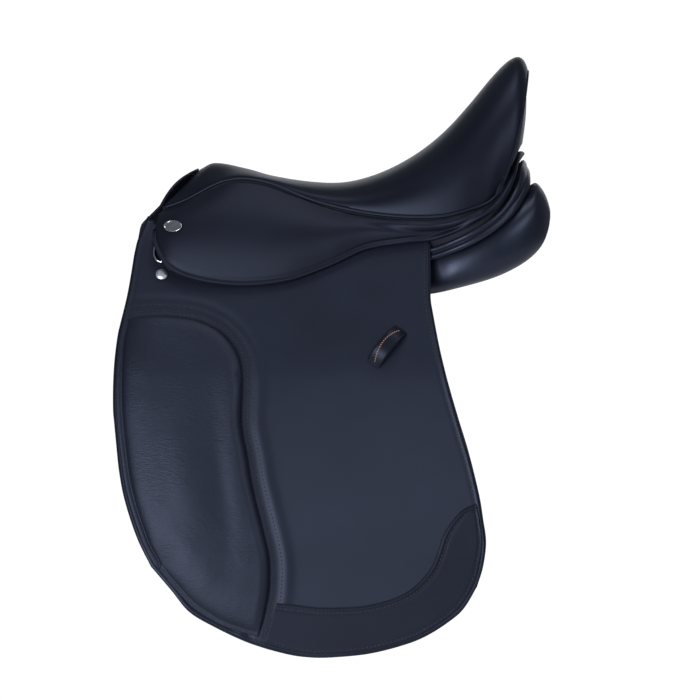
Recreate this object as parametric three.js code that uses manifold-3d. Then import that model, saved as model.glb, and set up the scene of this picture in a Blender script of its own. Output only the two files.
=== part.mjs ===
// English dressage saddle with a 17.5 inch seat, as an assembly of its separate pieces.
// Millimetres, +Z up, -X towards the horse's head, -Y on the near (left) side.
// The origin lies on the centre plane, level with the panels' bearing edges under the rider.
// Everything paired is made once, for the near side, and mirrored for the off side.
import * as THREE from "three";
import { mergeVertices } from "three/addons/utils/BufferGeometryUtils.js";
import Module from "manifold-3d";

const wasm = await Module();
wasm.setup();

// ---- driving dimensions ----
const GAP = 0.4; // between pieces that touch
const COVER = 2.5; // seat leather
const FOAM_BOTTOM = 15.5; // depth of the seat foam's underside below the seat surface
const WEB_DEPTH = [16.5, 18]; // seat webs, between foam and tree
const TREE_DEPTH = [19, 27];
const SPRING_DEPTH = [28, 29.6]; // spring steel under the tree's rails
const FLAP = 5; // flap leather with its lining
const SKIRT = 4.5;
const SKIRT_LIFT = 6; // skirt's outer face above the flap along its lower edge
const SKIRT_BULGE = 14; // over the stirrup bar
const BILLET = { back: -7.5, front: -4.5, half: 12.5, top: 42, bottom: -330, hole: 2.5, pitch: 25, holes: 6 };
const SWEAT_FLAP = { back: -16, front: -13 };
const FLAP_FOLD = -1.5; // height of the line where the flap lifts
const FOLD_ROOM = 2.5; // leather cut back each side of the flap's fold line
const SKIRT_FOLD = { front: [-206, 66], rear: [50, 56], room: 3.5 }; // [x, z] of the skirt's fold line
const PAD_RISE = 15; // knee pad's crown
const PATCH = 1.6; // grip patch leather
const BADGE = [0.1025, 0.57, 1]; // along and down the skirt, and above it
const KEEPER = { x: 65.3, z: -61.8, length: 54, width: 18, rise: 12, wall: 2.4, angle: 54.6 };
const STUD = { x: -195.6, z: 20.2, radius: 7, cap: 3.2, shank: 1.5 };
const RING = { x: -193.5, z: 46.2, radius: 13.4, wire: 1.6, bar: 9, pull: 233 };
const BAR = { x: -80, z: 55, gap: 9, thick: 4.5, height: 8, front: -45, rear: 40 };

const MATERIALS = {
  leather: { color: 0x20232c, roughness: 0.45, metalness: 0 },
  soft_leather: { color: 0x262a34, roughness: 0.55, metalness: 0 },
  lining: { color: 0x15171b, roughness: 0.7, metalness: 0 },
  foam: { color: 0x8d8a80, roughness: 0.9, metalness: 0 },
  wool: { color: 0xcfc8b8, roughness: 1, metalness: 0 },
  webbing: { color: 0xb9ad93, roughness: 0.9, metalness: 0 },
  tree: { color: 0x9a7148, roughness: 0.7, metalness: 0 },
  steel: { color: 0x8f9296, roughness: 0.4, metalness: 1 },
  nickel: { color: 0xc4c6ca, roughness: 0.2, metalness: 1 },
};

// ---- curves ----
// A smooth function of x through [x, y] points in rising x, level with its end points beyond them.
function through(points) {
  const slope = points.map((_, i) => {
    const a = points[Math.max(i - 1, 0)];
    const b = points[Math.min(i + 1, points.length - 1)];
    return (b[1] - a[1]) / (b[0] - a[0]);
  });
  return (x) => {
    if (x <= points[0][0]) return points[0][1];
    const i = points.findIndex((p) => x <= p[0]);
    if (i < 0) return points.at(-1)[1];
    const [x0, y0] = points[i - 1];
    const [x1, y1] = points[i];
    const w = x1 - x0;
    const t = (x - x0) / w;
    const rise = (y1 - y0) * t * t * (3 - 2 * t);
    return y0 + rise + w * t * (1 - t) * ((1 - t) * slope[i - 1] - t * slope[i]);
  };
}

// A function of t in 0..1 that gives [x, z] evenly along a smooth line.
function line(points) {
  const curve = new THREE.SplineCurve(points.map((p) => new THREE.Vector2(...p)));
  return (t) => curve.getPointAt(t).toArray();
}

// A Coons patch: (u, v) in 0..1 to [x, z], with u from the front edge to the rear edge and v from top to bottom.
function patch(top, bottom, front, rear) {
  return (u, v) =>
    [0, 1].map((k) => {
      const across = (1 - v) * top(u)[k] + v * bottom(u)[k];
      const down = (1 - u) * front(v)[k] + u * rear(v)[k];
      const upper = (1 - u) * top(0)[k] + u * top(1)[k];
      const lower = (1 - u) * bottom(0)[k] + u * bottom(1)[k];
      return across + down - (1 - v) * upper - v * lower;
    });
}

// ---- solids ----
// A closed body through equal loops of [x, out, z] points, on the near side. Each loop is a flattened ring:
// its point i lies opposite its point n - 1 - i, and the end loops are closed between those.
function loft(loops) {
  const n = loops[0].length;
  const place = loops.flat().map(([x, out, z]) => [x, -out, z]);
  const index = [];
  const quad = (a, b, c, d) => index.push(a, b, c, a, c, d);
  for (let i = 0; i + 1 < loops.length; i++) {
    for (let j = 0; j < n; j++) {
      const k = (j + 1) % n;
      quad(i * n + j, i * n + k, (i + 1) * n + k, (i + 1) * n + j);
    }
  }
  const end = (loops.length - 1) * n;
  for (let j = 0; j + 1 < n / 2; j++) {
    quad(j, n - 1 - j, n - 2 - j, j + 1);
    quad(end + j, end + j + 1, end + n - 2 - j, end + n - 1 - j);
  }
  const geometry = new THREE.BufferGeometry();
  geometry.setAttribute("position", new THREE.Float32BufferAttribute(place.flat(), 3));
  geometry.setIndex(index);
  return outward(geometry);
}

function volume(geometry) {
  const p = geometry.attributes.position;
  const [a, b, c] = [new THREE.Vector3(), new THREE.Vector3(), new THREE.Vector3()];
  let sum = 0;
  for (let i = 0; i < geometry.index.count; i += 3) {
    a.fromBufferAttribute(p, geometry.index.getX(i));
    b.fromBufferAttribute(p, geometry.index.getX(i + 1));
    c.fromBufferAttribute(p, geometry.index.getX(i + 2));
    sum += a.dot(b.cross(c));
  }
  return sum;
}

function outward(geometry) {
  if (volume(geometry) < 0) geometry.index.array.reverse();
  return geometry;
}

// A body between two sheets that are functions of (u, v) giving [x, out, z].
function between(outer, inner, nu, nv) {
  const loops = [];
  for (let i = 0; i <= nu; i++) {
    const row = (sheet) => Array.from({ length: nv + 1 }, (_, j) => sheet(i / nu, j / nv));
    loops.push([...row(outer), ...row(inner).reverse()]);
  }
  return loft(loops);
}

function solid(geometry) {
  const bare = geometry.clone();
  bare.deleteAttribute("normal");
  bare.deleteAttribute("uv");
  const merged = mergeVertices(bare, 1e-3);
  const vertProperties = new Float32Array(merged.attributes.position.array);
  return new wasm.Manifold(new wasm.Mesh({ numProp: 3, vertProperties, triVerts: new Uint32Array(merged.index.array) }));
}

function shape(manifold) {
  const mesh = manifold.getMesh();
  const geometry = new THREE.BufferGeometry();
  geometry.setAttribute("position", new THREE.BufferAttribute(new Float32Array(mesh.vertProperties), 3));
  geometry.setIndex(new THREE.BufferAttribute(new Uint32Array(mesh.triVerts), 1));
  return geometry;
}

// Boxes and cylinders on the near side, placed by [x, out, z].
function block([x0, x1], [out0, out1], [z0, z1]) {
  const box = new THREE.BoxGeometry(x1 - x0, out1 - out0, z1 - z0);
  return box.translate((x0 + x1) / 2, -(out0 + out1) / 2, (z0 + z1) / 2);
}

// A cylinder along out.
function rod(radius, x, z, [out0, out1], sides = 12) {
  const cylinder = new THREE.CylinderGeometry(radius, radius, out1 - out0, sides);
  return cylinder.translate(x, -(out0 + out1) / 2, z);
}

function mesh(name, geometry, material) {
  const made = new THREE.Mesh(geometry, new THREE.MeshStandardMaterial(MATERIALS[material]));
  made.name = name;
  return made;
}

// ---- the seat's surface ----
// Its centre line and its lower seam, from the pommel (u = 0) to the cantle's rim (u = 1).
const SEAT = {
  topX: through([[0, -153], [0.05, -136], [0.15, -100], [0.25, -67], [0.38, -20], [0.48, 18], [0.58, 58],
    [0.68, 98], [0.77, 131], [0.85, 161], [0.92, 189], [0.96, 205], [0.98, 216], [1, 226]]),
  topZ: through([[0, 143], [0.05, 151], [0.15, 145], [0.25, 136], [0.38, 129], [0.48, 129], [0.58, 140],
    [0.68, 161], [0.77, 187], [0.85, 219.5], [0.92, 254.5], [0.96, 270.5], [0.98, 275], [1, 260]]),
  seamX: through([[0, -196], [0.05, -172], [0.15, -122], [0.25, -78], [0.38, -23], [0.48, 18], [0.58, 58],
    [0.68, 98], [0.77, 131], [0.85, 158], [0.92, 180], [1, 196]]),
  seamOut: through([[0, 62], [0.05, 67], [0.15, 76], [0.25, 83], [0.38, 93], [0.48, 102], [0.58, 112],
    [0.68, 120], [0.77, 124], [0.85, 124], [0.92, 119], [1, 108]]),
  seamZ: through([[0, 100.5], [0.05, 109], [0.15, 133], [0.25, 132], [0.38, 111], [0.48, 100], [0.58, 93.5],
    [0.68, 91], [0.77, 92.5], [0.85, 99], [0.92, 107], [1, 120]]),
  square: through([[0, 2], [0.4, 2.2], [0.7, 2.7], [1, 2.3]]), // superellipse power of a cross-section
};

// v runs from -1 (off-side seam) to 1 (near-side seam); depth is measured down into the seat.
function seatPoint(u, v, depth) {
  const turn = (Math.PI / 2) * Math.abs(v);
  const power = 2 / SEAT.square(u);
  const side = Math.sin(turn) ** power * Math.sign(v);
  const up = Math.max(Math.cos(turn), 0) ** power;
  const [seamX, seamZ] = [SEAT.seamX(u), SEAT.seamZ(u)];
  return [
    seamX + (SEAT.topX(u) - seamX) * up,
    (SEAT.seamOut(u) - depth) * side,
    seamZ + (SEAT.topZ(u) - seamZ) * up - depth,
  ];
}

// Sections bunch up where the seat turns over at the pommel and the cantle.
const SECTIONS = [0.02, 0.05, 0.08, 0.11, 0.15, 0.2, 0.26, 0.32, 0.38, 0.44, 0.5, 0.56, 0.62, 0.68, 0.725, 0.77, 0.81,
  0.85, 0.89, 0.92, 0.945, 0.965, 0.98, 0.99];

function seatLayer([u0, u1], [v0, v1], [top, bottom], nv) {
  const stations = [u0, ...SECTIONS.filter((u) => u > u0 && u < u1), u1];
  const at = (depth) => (u, v) =>
    seatPoint(stations[Math.round(u * (stations.length - 1))], v0 + (v1 - v0) * v, depth);
  return between(at(top), at(bottom), stations.length - 1, nv);
}

// ---- the flap's surface ----
const flareAt = through([[-418, 211], [-300, 201], [-200, 189], [-100, 169.5], [-50, 152], [0, 130], [30, 116],
  [60, 101], [88, 84], [110, 74]]);
const spreadAt = through([[-300, 0], [-100, 0.04], [0, 0.07], [60, 0.08]]);
const flapOut = (x, z) => flareAt(z) + spreadAt(z) * x;

// A layer of leather on the flap's surface, from one height above it to another.
function flapLayer(outline, from, to, nu, nv) {
  const height = (h, u, v) => (typeof h === "function" ? h(u, v) : h);
  const at = (h) => (u, v) => {
    const [x, z] = outline(u, v);
    const slopeX = spreadAt(z);
    const slopeZ = (flapOut(x, z + 1) - flapOut(x, z - 1)) / 2;
    const lift = height(h, u, v) / Math.hypot(1, slopeX, slopeZ);
    return [x - slopeX * lift, flapOut(x, z) + lift, z - slopeZ * lift];
  };
  return between(at(to), at(from), nu, nv);
}

// ---- outlines on the flap, [x, z] ----
const foldTop = FLAP_FOLD + FOLD_ROOM;
const foldBottom = FLAP_FOLD - FOLD_ROOM;
const FRONT_LOW = [-207.9, -313];
const REAR_LOW = [168.6, -336];
const flapFront = [[-237, foldBottom], [-243.7, -35.8], [-250.3, -77.4], [-251.8, -118], [-248.3, -174.4],
  [-240, -229.8], [-221.8, -285.3], FRONT_LOW];
const flapBottom = [FRONT_LOW, [-183.6, -340.7], [-136.3, -382.3], [-94.7, -400.8], [-53, -413.5], [-11, -418],
  [43.9, -413.5], [85.5, -403], [113.2, -391.5], [141, -373], [154.8, -359], REAR_LOW];
const flapRear = [[115.5, foldBottom], [117.8, -22], [125.9, -63.5], [147.8, -146.7], [171, -229.8],
  [179, -285.3], [175.6, -313], REAR_LOW];
const padTop = [[-240, -33], [-222.9, -30.6], [-189, -29], [-156.3, -33.5], [-132, -43.5], [-113.5, -62.3],
  [-103.5, -88]];
const padFront = [[-240, -33], [-246.5, -77.4], [-247.5, -118], [-244, -174.4], [-235.5, -229.8],
  [-217.5, -285.3], [-204, -311]];
const padRear = [[-103.5, -88], [-104, -138.6], [-97.4, -189], [-87.9, -235.6], [-73.3, -296.8],
  [-71.7, -342.5], [-84.7, -391]];
const padBottom = [[-204, -311], [-180, -338], [-134, -378.5], [-84.7, -391]];
const patchTop = [[-62.4, -354.6], [-16.2, -360], [44.6, -357.3], [90.6, -340.7], [116.4, -313], [129.4, -278],
  [151.3, -248.7], [170.5, -240]];
const patchBottom = [[-78, -400], [-20, -413.5], [43, -409], [100, -394], [136, -372.5], [160, -341],
  [172.5, -300], [174.5, -270], [170.5, -240]];

const flapOutline = patch(
  line([flapFront[0], flapRear[0]]), line(flapBottom), line(flapFront), line(flapRear));
const padOutline = patch(line(padTop), line(padBottom), line(padFront), line(padRear));

function flapHeadOutline() {
  const front = [[-213.5, 87], [-224, 61.2], [-230.5, 27], [-236, foldTop]];
  const rear = [[115.5, 66], [115.5, foldTop]];
  return patch(line([front[0], [-170, 72], [0, 70], rear[0]]), line([front[3], rear[1]]), line(front), line(rear));
}

// The sweat flap is the flap's shape, drawn in all round.
function sweatFlapOutline(u, v) {
  const [x, z] = flapOutline(u, v);
  const middle = [-40, 12];
  return [middle[0] + (x - middle[0]) * 0.86, middle[1] + (z + 4 - middle[1]) * 0.92];
}

// ---- centre pieces ----
function archPath() {
  const near = [[-163, 70, 56], [-160, 64, 76], [-148, 45, 99], [-133, 25, 117]];
  const off = near.map(([x, out, z]) => [x, -out, z]).reverse();
  return new THREE.CatmullRomCurve3([...near, [-124.5, 0, 122.5], ...off].map((p) => new THREE.Vector3(...p)));
}

// A bar along the head's arch: width is measured fore and aft, depth across the arch, and both are offset.
function archBar([width, shift], [depth, drop], [start, end], steps) {
  const path = archPath();
  const loops = Array.from({ length: steps + 1 }, (_, i) => {
    const t = start + ((end - start) * i) / steps;
    const at = path.getPoint(t);
    const along = path.getTangent(t);
    const across = new THREE.Vector2(-along.z, along.y).normalize(); // towards the inside of the arch
    return [[-1, -1], [1, -1], [1, 1], [-1, 1]].map(([a, b]) => {
      const reach = (b * depth) / 2 + drop;
      return [at.x + shift + (a * width) / 2, at.y + across.x * reach, at.z + across.y * reach];
    });
  });
  return loft(loops);
}

const barPlace = new THREE.Matrix4().makeRotationZ(-Math.atan(spreadAt(BAR.z)));
barPlace.setPosition(BAR.x, -flapOut(BAR.x, BAR.z) - FLAP, BAR.z);

const PLATE = { out: [-20, -16.5], z: [20, 44], x: [BAR.front, 32] };
const RIVETS = [-28, 20].map((x) => [x, 33]);

function treeGeometry() {
  let tree = solid(seatLayer([0.08, 0.965], [-0.875, 0.875], TREE_DEPTH, 14));
  const opening = new THREE.CapsuleGeometry(34, 140, 3, 12).rotateZ(Math.PI / 2).scale(1, 1, 8);
  tree = tree.subtract(solid(opening.translate(15, 0, 120)));
  tree = tree.add(solid(archBar([14, 0], [14, 0], [0, 1], 18)));
  let rail = solid(block(PLATE.x, [-50, PLATE.out[0] - GAP], [PLATE.z[0] + 4, PLATE.z[1] + 2]));
  rail = rail.add(solid(block(PLATE.x, [-50, -40], [PLATE.z[0] + 4, 55])));
  for (const [x, z] of RIVETS) rail = rail.subtract(solid(rod(2.9, x, z, [-31, 0])));
  const near = shape(rail).applyMatrix4(barPlace);
  const off = outward(near.clone().scale(1, -1, 1));
  return shape(tree.add(solid(near)).add(solid(off)));
}

// The padded leather facing in front of the pommel arch, lying along the arch's leaning plane.
function pommelFacing() {
  const legs = [[-1.35, -30], [-1.18, -14]];
  const stations = [...legs, ...Array.from({ length: 15 }, (_, i) => [-1 + i / 7, 0]),
    ...legs.map(([v, drop]) => [-v, drop]).reverse()];
  const lean = Math.SQRT1_2;
  const edge = ([v, drop], inset) => {
    const clamped = Math.max(-1, Math.min(1, v));
    const [x, out, z] = seatPoint(0, clamped, inset);
    const flare = Math.sign(v) * -drop * 0.25;
    return [x + drop * lean - inset * 0.15, out + flare, z + drop * lean];
  };
  const loops = stations.map((s) => {
    const [outer, inner] = [edge(s, 0), edge(s, 24)];
    const raised = ([x, out, z], h) => [x - h * lean, out, z + h * lean];
    return [raised(outer, 1), raised(outer, 4.5), raised(inner, 6.5), raised(inner, 1)];
  });
  return loft(loops);
}

// The leather that closes the back of the cantle, from its rim down to the rear strips.
function cantleFacing() {
  const low = { x: through([[0, 222], [0.5, 217], [1, 198]]), z: through([[0, 172], [0.5, 164], [1, 124]]) };
  const at = (inwards) => (s, t) => {
    const v = 1.9 * s - 0.95;
    const [x, out, z] = seatPoint(1, v, 4);
    const [lowX, lowZ] = [low.x(Math.abs(v)), low.z(Math.abs(v))];
    const belly = 5 * Math.sin(Math.PI * t) * (1 - v * v);
    return [x + (lowX - x) * t + belly - inwards, out * (1 - 0.04 * t) - 0.3 * inwards * v, z + (lowZ - z) * t];
  };
  return between(at(0), at(4), 16, 5);
}

function centre() {
  const group = new THREE.Group();
  group.add(
    mesh("tree", treeGeometry(), "tree"),
    mesh("head_plate", archBar([2.5, -9.6], [9, 1.5], [0.06, 0.94], 16), "steel"),
    mesh("gullet_plate", archBar([11, 0], [2.5, 7 + GAP + 1.25 + 1], [0.1, 0.9], 14), "steel"),
    mesh("seat_foam", seatLayer([0.02, 0.965], [-0.875, 0.875], [COVER + 2 * GAP, FOAM_BOTTOM], 14), "foam"),
    mesh("seat_cover", seatLayer([0, 1], [-1, 1], [0, COVER], 16), "leather"),
    mesh("pommel_facing", pommelFacing(), "leather"),
    mesh("cantle_facing", cantleFacing(), "leather"),
  );
  return group;
}

// ---- near-side pieces ----
// The skirt's seam along the seat and its lower edge, [x, out, z] from front to rear, meeting behind the cantle.
const skirtSeam = [[-196, 65, 97], [-172, 71, 105.5], [-143, 76.5, 119.5], [-113, 81, 130], [-78, 86, 127],
  [-40, 92, 113.5], [0, 101, 99.5], [40, 111, 91], [87, 121, 86.5], [122, 126.5, 86.5], [158, 127, 94.5],
  [188, 119, 106.5], [205, 98, 132], [214, 64, 152], [219, 30, 162], [221, 1, 165]];
const ringRoom = through([[-207, 8], [-180, 7], [-140, 0]]); // the skirt's front stands off the dee ring
const skirtEdge = [[-207.5, 72], [-204, 52], [-190, 30], [-158, 15.5], [-105, 8.8], [-50, 14.5], [-1, 32],
  [40, 51], [87, 59.4], [120, 63]].map(([x, z]) => [x, flapOut(x, z) + FLAP + SKIRT_LIFT + ringRoom(x), z]);
skirtEdge.push([160, 131, 79], [191, 125, 100], [211, 104, 128], [221, 68, 148], [226, 32, 156], [228, 1, 158]);

function ruled(topPoints, bottomPoints, bulge) {
  const [top, bottom] = [topPoints, bottomPoints].map(
    (points) => new THREE.CatmullRomCurve3(points.map((p) => new THREE.Vector3(...p))));
  return (inwards) => (u, v) => {
    const a = top.getPoint(u);
    const at = a.clone().lerp(bottom.getPoint(u), v);
    const along = top.getTangent(u).lerp(bottom.getTangent(u), v);
    const normal = bottom.getPoint(u).sub(a).cross(along).normalize().negate();
    at.addScaledVector(normal, bulge(u) * Math.sin(Math.PI * v) - inwards);
    return at.toArray();
  };
}

const skirtSheet = ruled(skirtSeam, skirtEdge, through([[0, 5], [0.12, SKIRT_BULGE], [0.4, SKIRT_BULGE], [0.6, 2]]));
const skirtSolid = () => solid(between(skirtSheet(0), skirtSheet(SKIRT), 32, 6));


// A large box on one side of the skirt's fold line, cut back from the line.
function foldBox(side) {
  const { front, rear, room } = SKIRT_FOLD;
  const tilt = Math.atan2(rear[1] - front[1], rear[0] - front[0]);
  const reach = 400;
  const box = new THREE.BoxGeometry(2 * reach, 2 * reach, reach);
  box.translate(0, 0, side * (reach / 2 + room)).rotateY(-tilt);
  return solid(box.translate(front[0], 0, front[1]));
}

function panelSection(x, inset) {
  const [low, high] = [PANEL.low(x) + inset, PANEL.high(x) - inset];
  const [inner, outer] = [PANEL.inner(x) + inset, PANEL.outer(x) - inset];
  const count = 14;
  const slant = PANEL.slant(x);
  const reach = ((1 - slant) ** (5 / 3) + slant ** (5 / 3)) ** 0.6;
  return Array.from({ length: count }, (_, i) => {
    const turn = (2 * Math.PI * (i + 0.5)) / count;
    const [c, s] = [Math.cos(turn), Math.sin(turn)];
    const across = Math.sign(c) * Math.abs(c) ** 0.8;
    const up = Math.sign(s) * Math.abs(s) ** 0.8;
    const height = (up * (1 - slant) - slant * across) / reach;
    return [x, (inner + outer) / 2 + ((outer - inner) / 2) * across,
      (low + high) / 2 + ((high - low) / 2) * height];
  });
}

const PANEL = {
  low: through([[-196, -12], [-190, -22], [-170, -32], [-150, -34], [-100, -24], [0, -8], [60, -4], [115, 0],
    [140, 5.8], [185, 19.6], [214, 33.5], [233, 47.4], [244, 61], [250, 77], [252, 90]]),
  high: through([[-196, 10], [-190, 26], [-170, 42], [-150, 48], [-100, 54], [0, 58], [60, 60], [115, 70],
    [150, 80], [185, 98], [205, 110], [218, 118], [228, 124], [236, 128], [245, 117], [250, 104], [252, 95]]),
  inner: through([[-196, 62], [-185, 52], [-150, 48], [-100, 34], [0, 30], [200, 30], [233, 33], [244, 42],
    [250, 54], [252, 60]]),
  outer: through([[-196, 78], [-185, 86], [-150, 92], [-100, 92], [0, 98], [90, 106], [118, 114], [140, 124],
    [185, 126], [214, 118], [233, 106], [244, 92], [250, 76], [252, 66]]),
  slant: through([[-196, 0.3], [100, 0.3], [200, 0.5], [236, 0.45], [252, 0.3]]), // how far its top falls outwards
};
const PANEL_STATIONS = [-196, -190, -178, -155, -120, -70, -10, 50, 90, 115, 135, 160, 185, 205, 220, 233, 243,
  249, 252];

function panel(inset) {
  const stations = PANEL_STATIONS.map((x) => Math.max(-196 + inset, Math.min(252 - inset, x)));
  const distinct = stations.filter((x, i) => i === 0 || x > stations[i - 1]);
  return solid(loft(distinct.map((x) => panelSection(x, inset))));
}

function panelCover() {
  const slit = block([20, 60], [50, 62], [40, 80]); // the flocking slot under the tree
  return shape(panel(0).subtract(panel(3)).subtract(solid(slit)));
}

const bandTop = [[100, 108, 52], [120, 114.5, 55.5], [140, 124, 63], [160, 129, 73], [180, 127, 85], [198, 117, 101],
  [213, 100.5, 124], [223, 68, 144.5], [228.5, 32, 153], [230, 1, 155]];
const bandBottom = [[100, 110, 36], [120, 117, 40], [140, 126, 47], [160, 131, 55.5], [180, 130, 66.5],
  [199, 122, 80.5], [215, 107, 97], [228, 82, 118], [233, 40, 134], [233, 1, 139]];

function panelBand() {
  const sheet = ruled(bandTop, bandBottom, () => 1.5);
  return between(sheet(0), sheet(4), 18, 3);
}

const billetOutline = (centre) => (u, v) => {
  const tip = Math.max(0, (v - 0.96) / 0.04);
  const half = BILLET.half * (1 - 0.55 * tip);
  return [centre + (2 * u - 1) * half, BILLET.top + (BILLET.bottom - BILLET.top) * v];
};

function billet(centre) {
  let strap = solid(flapLayer(billetOutline(centre), BILLET.back, BILLET.front, 1, 14));
  for (let i = 0; i < BILLET.holes; i++) {
    const hole = rod(BILLET.hole, centre, BILLET.bottom + 22 + i * BILLET.pitch, [120, 240], 6);
    strap = strap.subtract(solid(hole));
  }
  return shape(strap);
}

function billetWeb() {
  const web = (depth) => (u, v) => {
    const x = -46 + 96 * u;
    const low = [x, flapOut(x, 24) + BILLET.back - 2.2, 24];
    const top = [x, 62, 73];
    return [x, top[1] + (low[1] - top[1]) * v - depth, top[2] + (low[2] - top[2]) * v];
  };
  return between(web(0), web(1.6), 2, 4);
}

// The bar's own frame has x along the bar, out from the flap's face and z up from the bar's middle.
// The arm carries the bar's front end over the flap head's top edge to the plate.
function arm(inner, outer) {
  const top = PLATE.z[0] + 6;
  const profile = [[inner, -BAR.height / 2], [outer, -BAR.height / 2], [outer, 7], [3.5, top], [PLATE.out[0], top],
    [PLATE.out[0], top - 5], [-2, top - 5], [inner, 5.5]].map((p) => new THREE.Vector2(...p));
  const made = new THREE.ExtrudeGeometry(new THREE.Shape(profile), { depth: 14, bevelEnabled: false });
  const turn = new THREE.Matrix4().set(0, 0, 1, BAR.front, -1, 0, 0, 0, 0, 1, 0, 0, 0, 0, 0, 1);
  return solid(outward(mergeVertices(stripped(made.applyMatrix4(turn)), 1e-3)));
}

function stirrupBar() {
  const inner = BAR.gap;
  const outer = BAR.gap + BAR.thick;
  const tongue = BAR.rear - 10;
  let bar = solid(block([BAR.front + 7, tongue], [inner, outer], [-BAR.height / 2, BAR.height / 2]));
  bar = bar.add(solid(block([tongue - 1, BAR.rear], [inner, inner + 2.2], [-BAR.height / 2, BAR.height / 2])));
  bar = bar.add(arm(inner, outer));
  bar = bar.add(solid(block(PLATE.x, PLATE.out, PLATE.z)));
  for (const [x, z] of RIVETS) bar = bar.subtract(solid(rod(2.9, x, z, [-30, 0])));
  bar = bar.subtract(solid(rod(1.9, BAR.rear - 5, 0, [0, 30])));
  return shape(bar);
}

function catchLever() {
  const base = BAR.gap + 2.2 + GAP;
  const outline = new THREE.Shape();
  outline.moveTo(0, -3.8);
  outline.lineTo(15, -3.2);
  outline.lineTo(17, 3.5);
  outline.lineTo(13, 3.2);
  outline.lineTo(0, 3.8);
  outline.absarc(0, 0, 3.8, Math.PI / 2, (3 * Math.PI) / 2, false);
  const lever = new THREE.ExtrudeGeometry(outline, { depth: 2, bevelEnabled: false, curveSegments: 8 });
  lever.rotateX(Math.PI / 2).translate(BAR.rear - 5, -base, 0);
  return shape(solidOf(lever).subtract(solid(rod(1.9, BAR.rear - 5, 0, [0, 30]))));
}

// ExtrudeGeometry has no index, so its corners are merged into one.
function solidOf(extruded) {
  return solid(mergeVertices(stripped(extruded), 1e-3));
}

function stripped(geometry) {
  geometry.deleteAttribute("normal");
  geometry.deleteAttribute("uv");
  return geometry;
}

function catchPin() {
  const [inner, outer] = [BAR.gap - 0.6, BAR.gap + 2.2 + GAP + 2];
  const pin = solid(rod(1.5, BAR.rear - 5, 0, [inner, outer + 0.8]));
  return shape(pin.add(solid(rod(2.8, BAR.rear - 5, 0, [outer + GAP, outer + 1.2]))));
}

function rivet([x, z]) {
  const pin = solid(rod(2.5, x, z, [-30, PLATE.out[1] + 1]));
  return shape(pin.add(solid(rod(4.2, x, z, [PLATE.out[1] + GAP, PLATE.out[1] + 2]))));
}

// A dee of round wire: a bow and a straight bar, in its own frame with the bar along x and the bow towards -z.
function dee() {
  const half = RING.radius * 0.86;
  const circle = new THREE.Shape().absarc(0, 0, RING.wire, 0, 2 * Math.PI, false);
  const bow = Array.from({ length: 13 }, (_, i) => {
    const turn = Math.PI * (i / 12);
    return new THREE.Vector3(-half * Math.cos(turn), 0, -half * 1.45 * Math.sin(turn) ** 0.8);
  });
  const extrude = (points, steps) => new THREE.ExtrudeGeometry(circle, {
    steps, curveSegments: 2, bevelEnabled: false, extrudePath: new THREE.CatmullRomCurve3(points) });
  const bar = [-half, -half / 3, half / 3, half].map((x) => new THREE.Vector3(x, 0, 0));
  let made = solidOf(extrude(bow, 14)).add(solidOf(extrude(bar, 3)));
  for (const x of [-half, half]) {
    made = made.add(solid(new THREE.IcosahedronGeometry(RING.wire * 1.06, 1).translate(x, 0, 0)));
  }
  return shape(made);
}

function chape() {
  const reach = 30;
  let strap = solid(block([-8, 8], [-1.2, 1.2], [0, reach]));
  const barrel = new THREE.CylinderGeometry(3.8, 3.8, 16, 14).rotateZ(Math.PI / 2);
  const bore = new THREE.CylinderGeometry(RING.wire + 0.4, RING.wire + 0.4, 20, 14).rotateZ(Math.PI / 2);
  strap = strap.add(solid(barrel)).subtract(solid(bore));
  return shape(strap);
}

// Lays a piece on the flap's outer face: its x runs at an angle to the saddle's x, and its -y points out.
function onFlap(made, x, z, degrees, lift) {
  const slopeX = spreadAt(z);
  const slopeZ = (flapOut(x, z + 2) - flapOut(x, z - 2)) / 4;
  const out = new THREE.Vector3(-slopeX, -1, -slopeZ).normalize();
  const angle = THREE.MathUtils.degToRad(degrees);
  const flat = new THREE.Vector3(Math.cos(angle), 0, Math.sin(angle));
  const along = flat.addScaledVector(out, -flat.dot(out)).normalize();
  const back = out.clone().negate();
  made.matrixAutoUpdate = false;
  made.matrix.makeBasis(along, back, new THREE.Vector3().crossVectors(along, back));
  made.matrix.setPosition(x + out.x * lift, -flapOut(x, z) + out.y * lift, z + out.z * lift);
  return made;
}

// Lays a flat piece on the skirt's outer face at (u, v), with its x along the skirt and its -y out.
function onSkirt(made, u, v, lift) {
  const sheet = skirtSheet(0);
  const step = 0.002;
  const at = (du, dv) => {
    const [x, out, z] = sheet(u + du, v + dv);
    return new THREE.Vector3(x, -out, z);
  };
  const along = at(step, 0).sub(at(-step, 0));
  along.setZ(along.z * 0.4).normalize();
  const down = at(0, step).sub(at(0, -step)).normalize();
  const back = new THREE.Vector3().crossVectors(down, along).normalize().negate();
  along.addScaledVector(back, -along.dot(back)).normalize();
  made.matrixAutoUpdate = false;
  made.matrix.makeBasis(along, back, new THREE.Vector3().crossVectors(along, back));
  made.matrix.setPosition(at(0, 0).addScaledVector(back, -lift));
  return made;
}

// The domed leather loop that holds the end of the stirrup leather.
function keeper() {
  const half = KEEPER.length / 2;
  const arch = (h) => (s) => [half * s, h * (1 - Math.abs(s) ** 2.6)];
  const outline = new THREE.Shape();
  const over = Array.from({ length: 17 }, (_, i) => arch(KEEPER.rise)(-1 + i / 8));
  const under = Array.from({ length: 17 }, (_, i) => {
    const [x, y] = arch(KEEPER.rise - KEEPER.wall)(1 - i / 8);
    return [x * 0.9, Math.max(y, 0)];
  });
  outline.setFromPoints([...over, ...under].map((p) => new THREE.Vector2(...p)));
  const made = new THREE.ExtrudeGeometry(outline, { depth: KEEPER.width, bevelEnabled: false });
  made.translate(0, 0, -KEEPER.width / 2).rotateX(Math.PI);
  return shape(solidOf(made));
}

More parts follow.
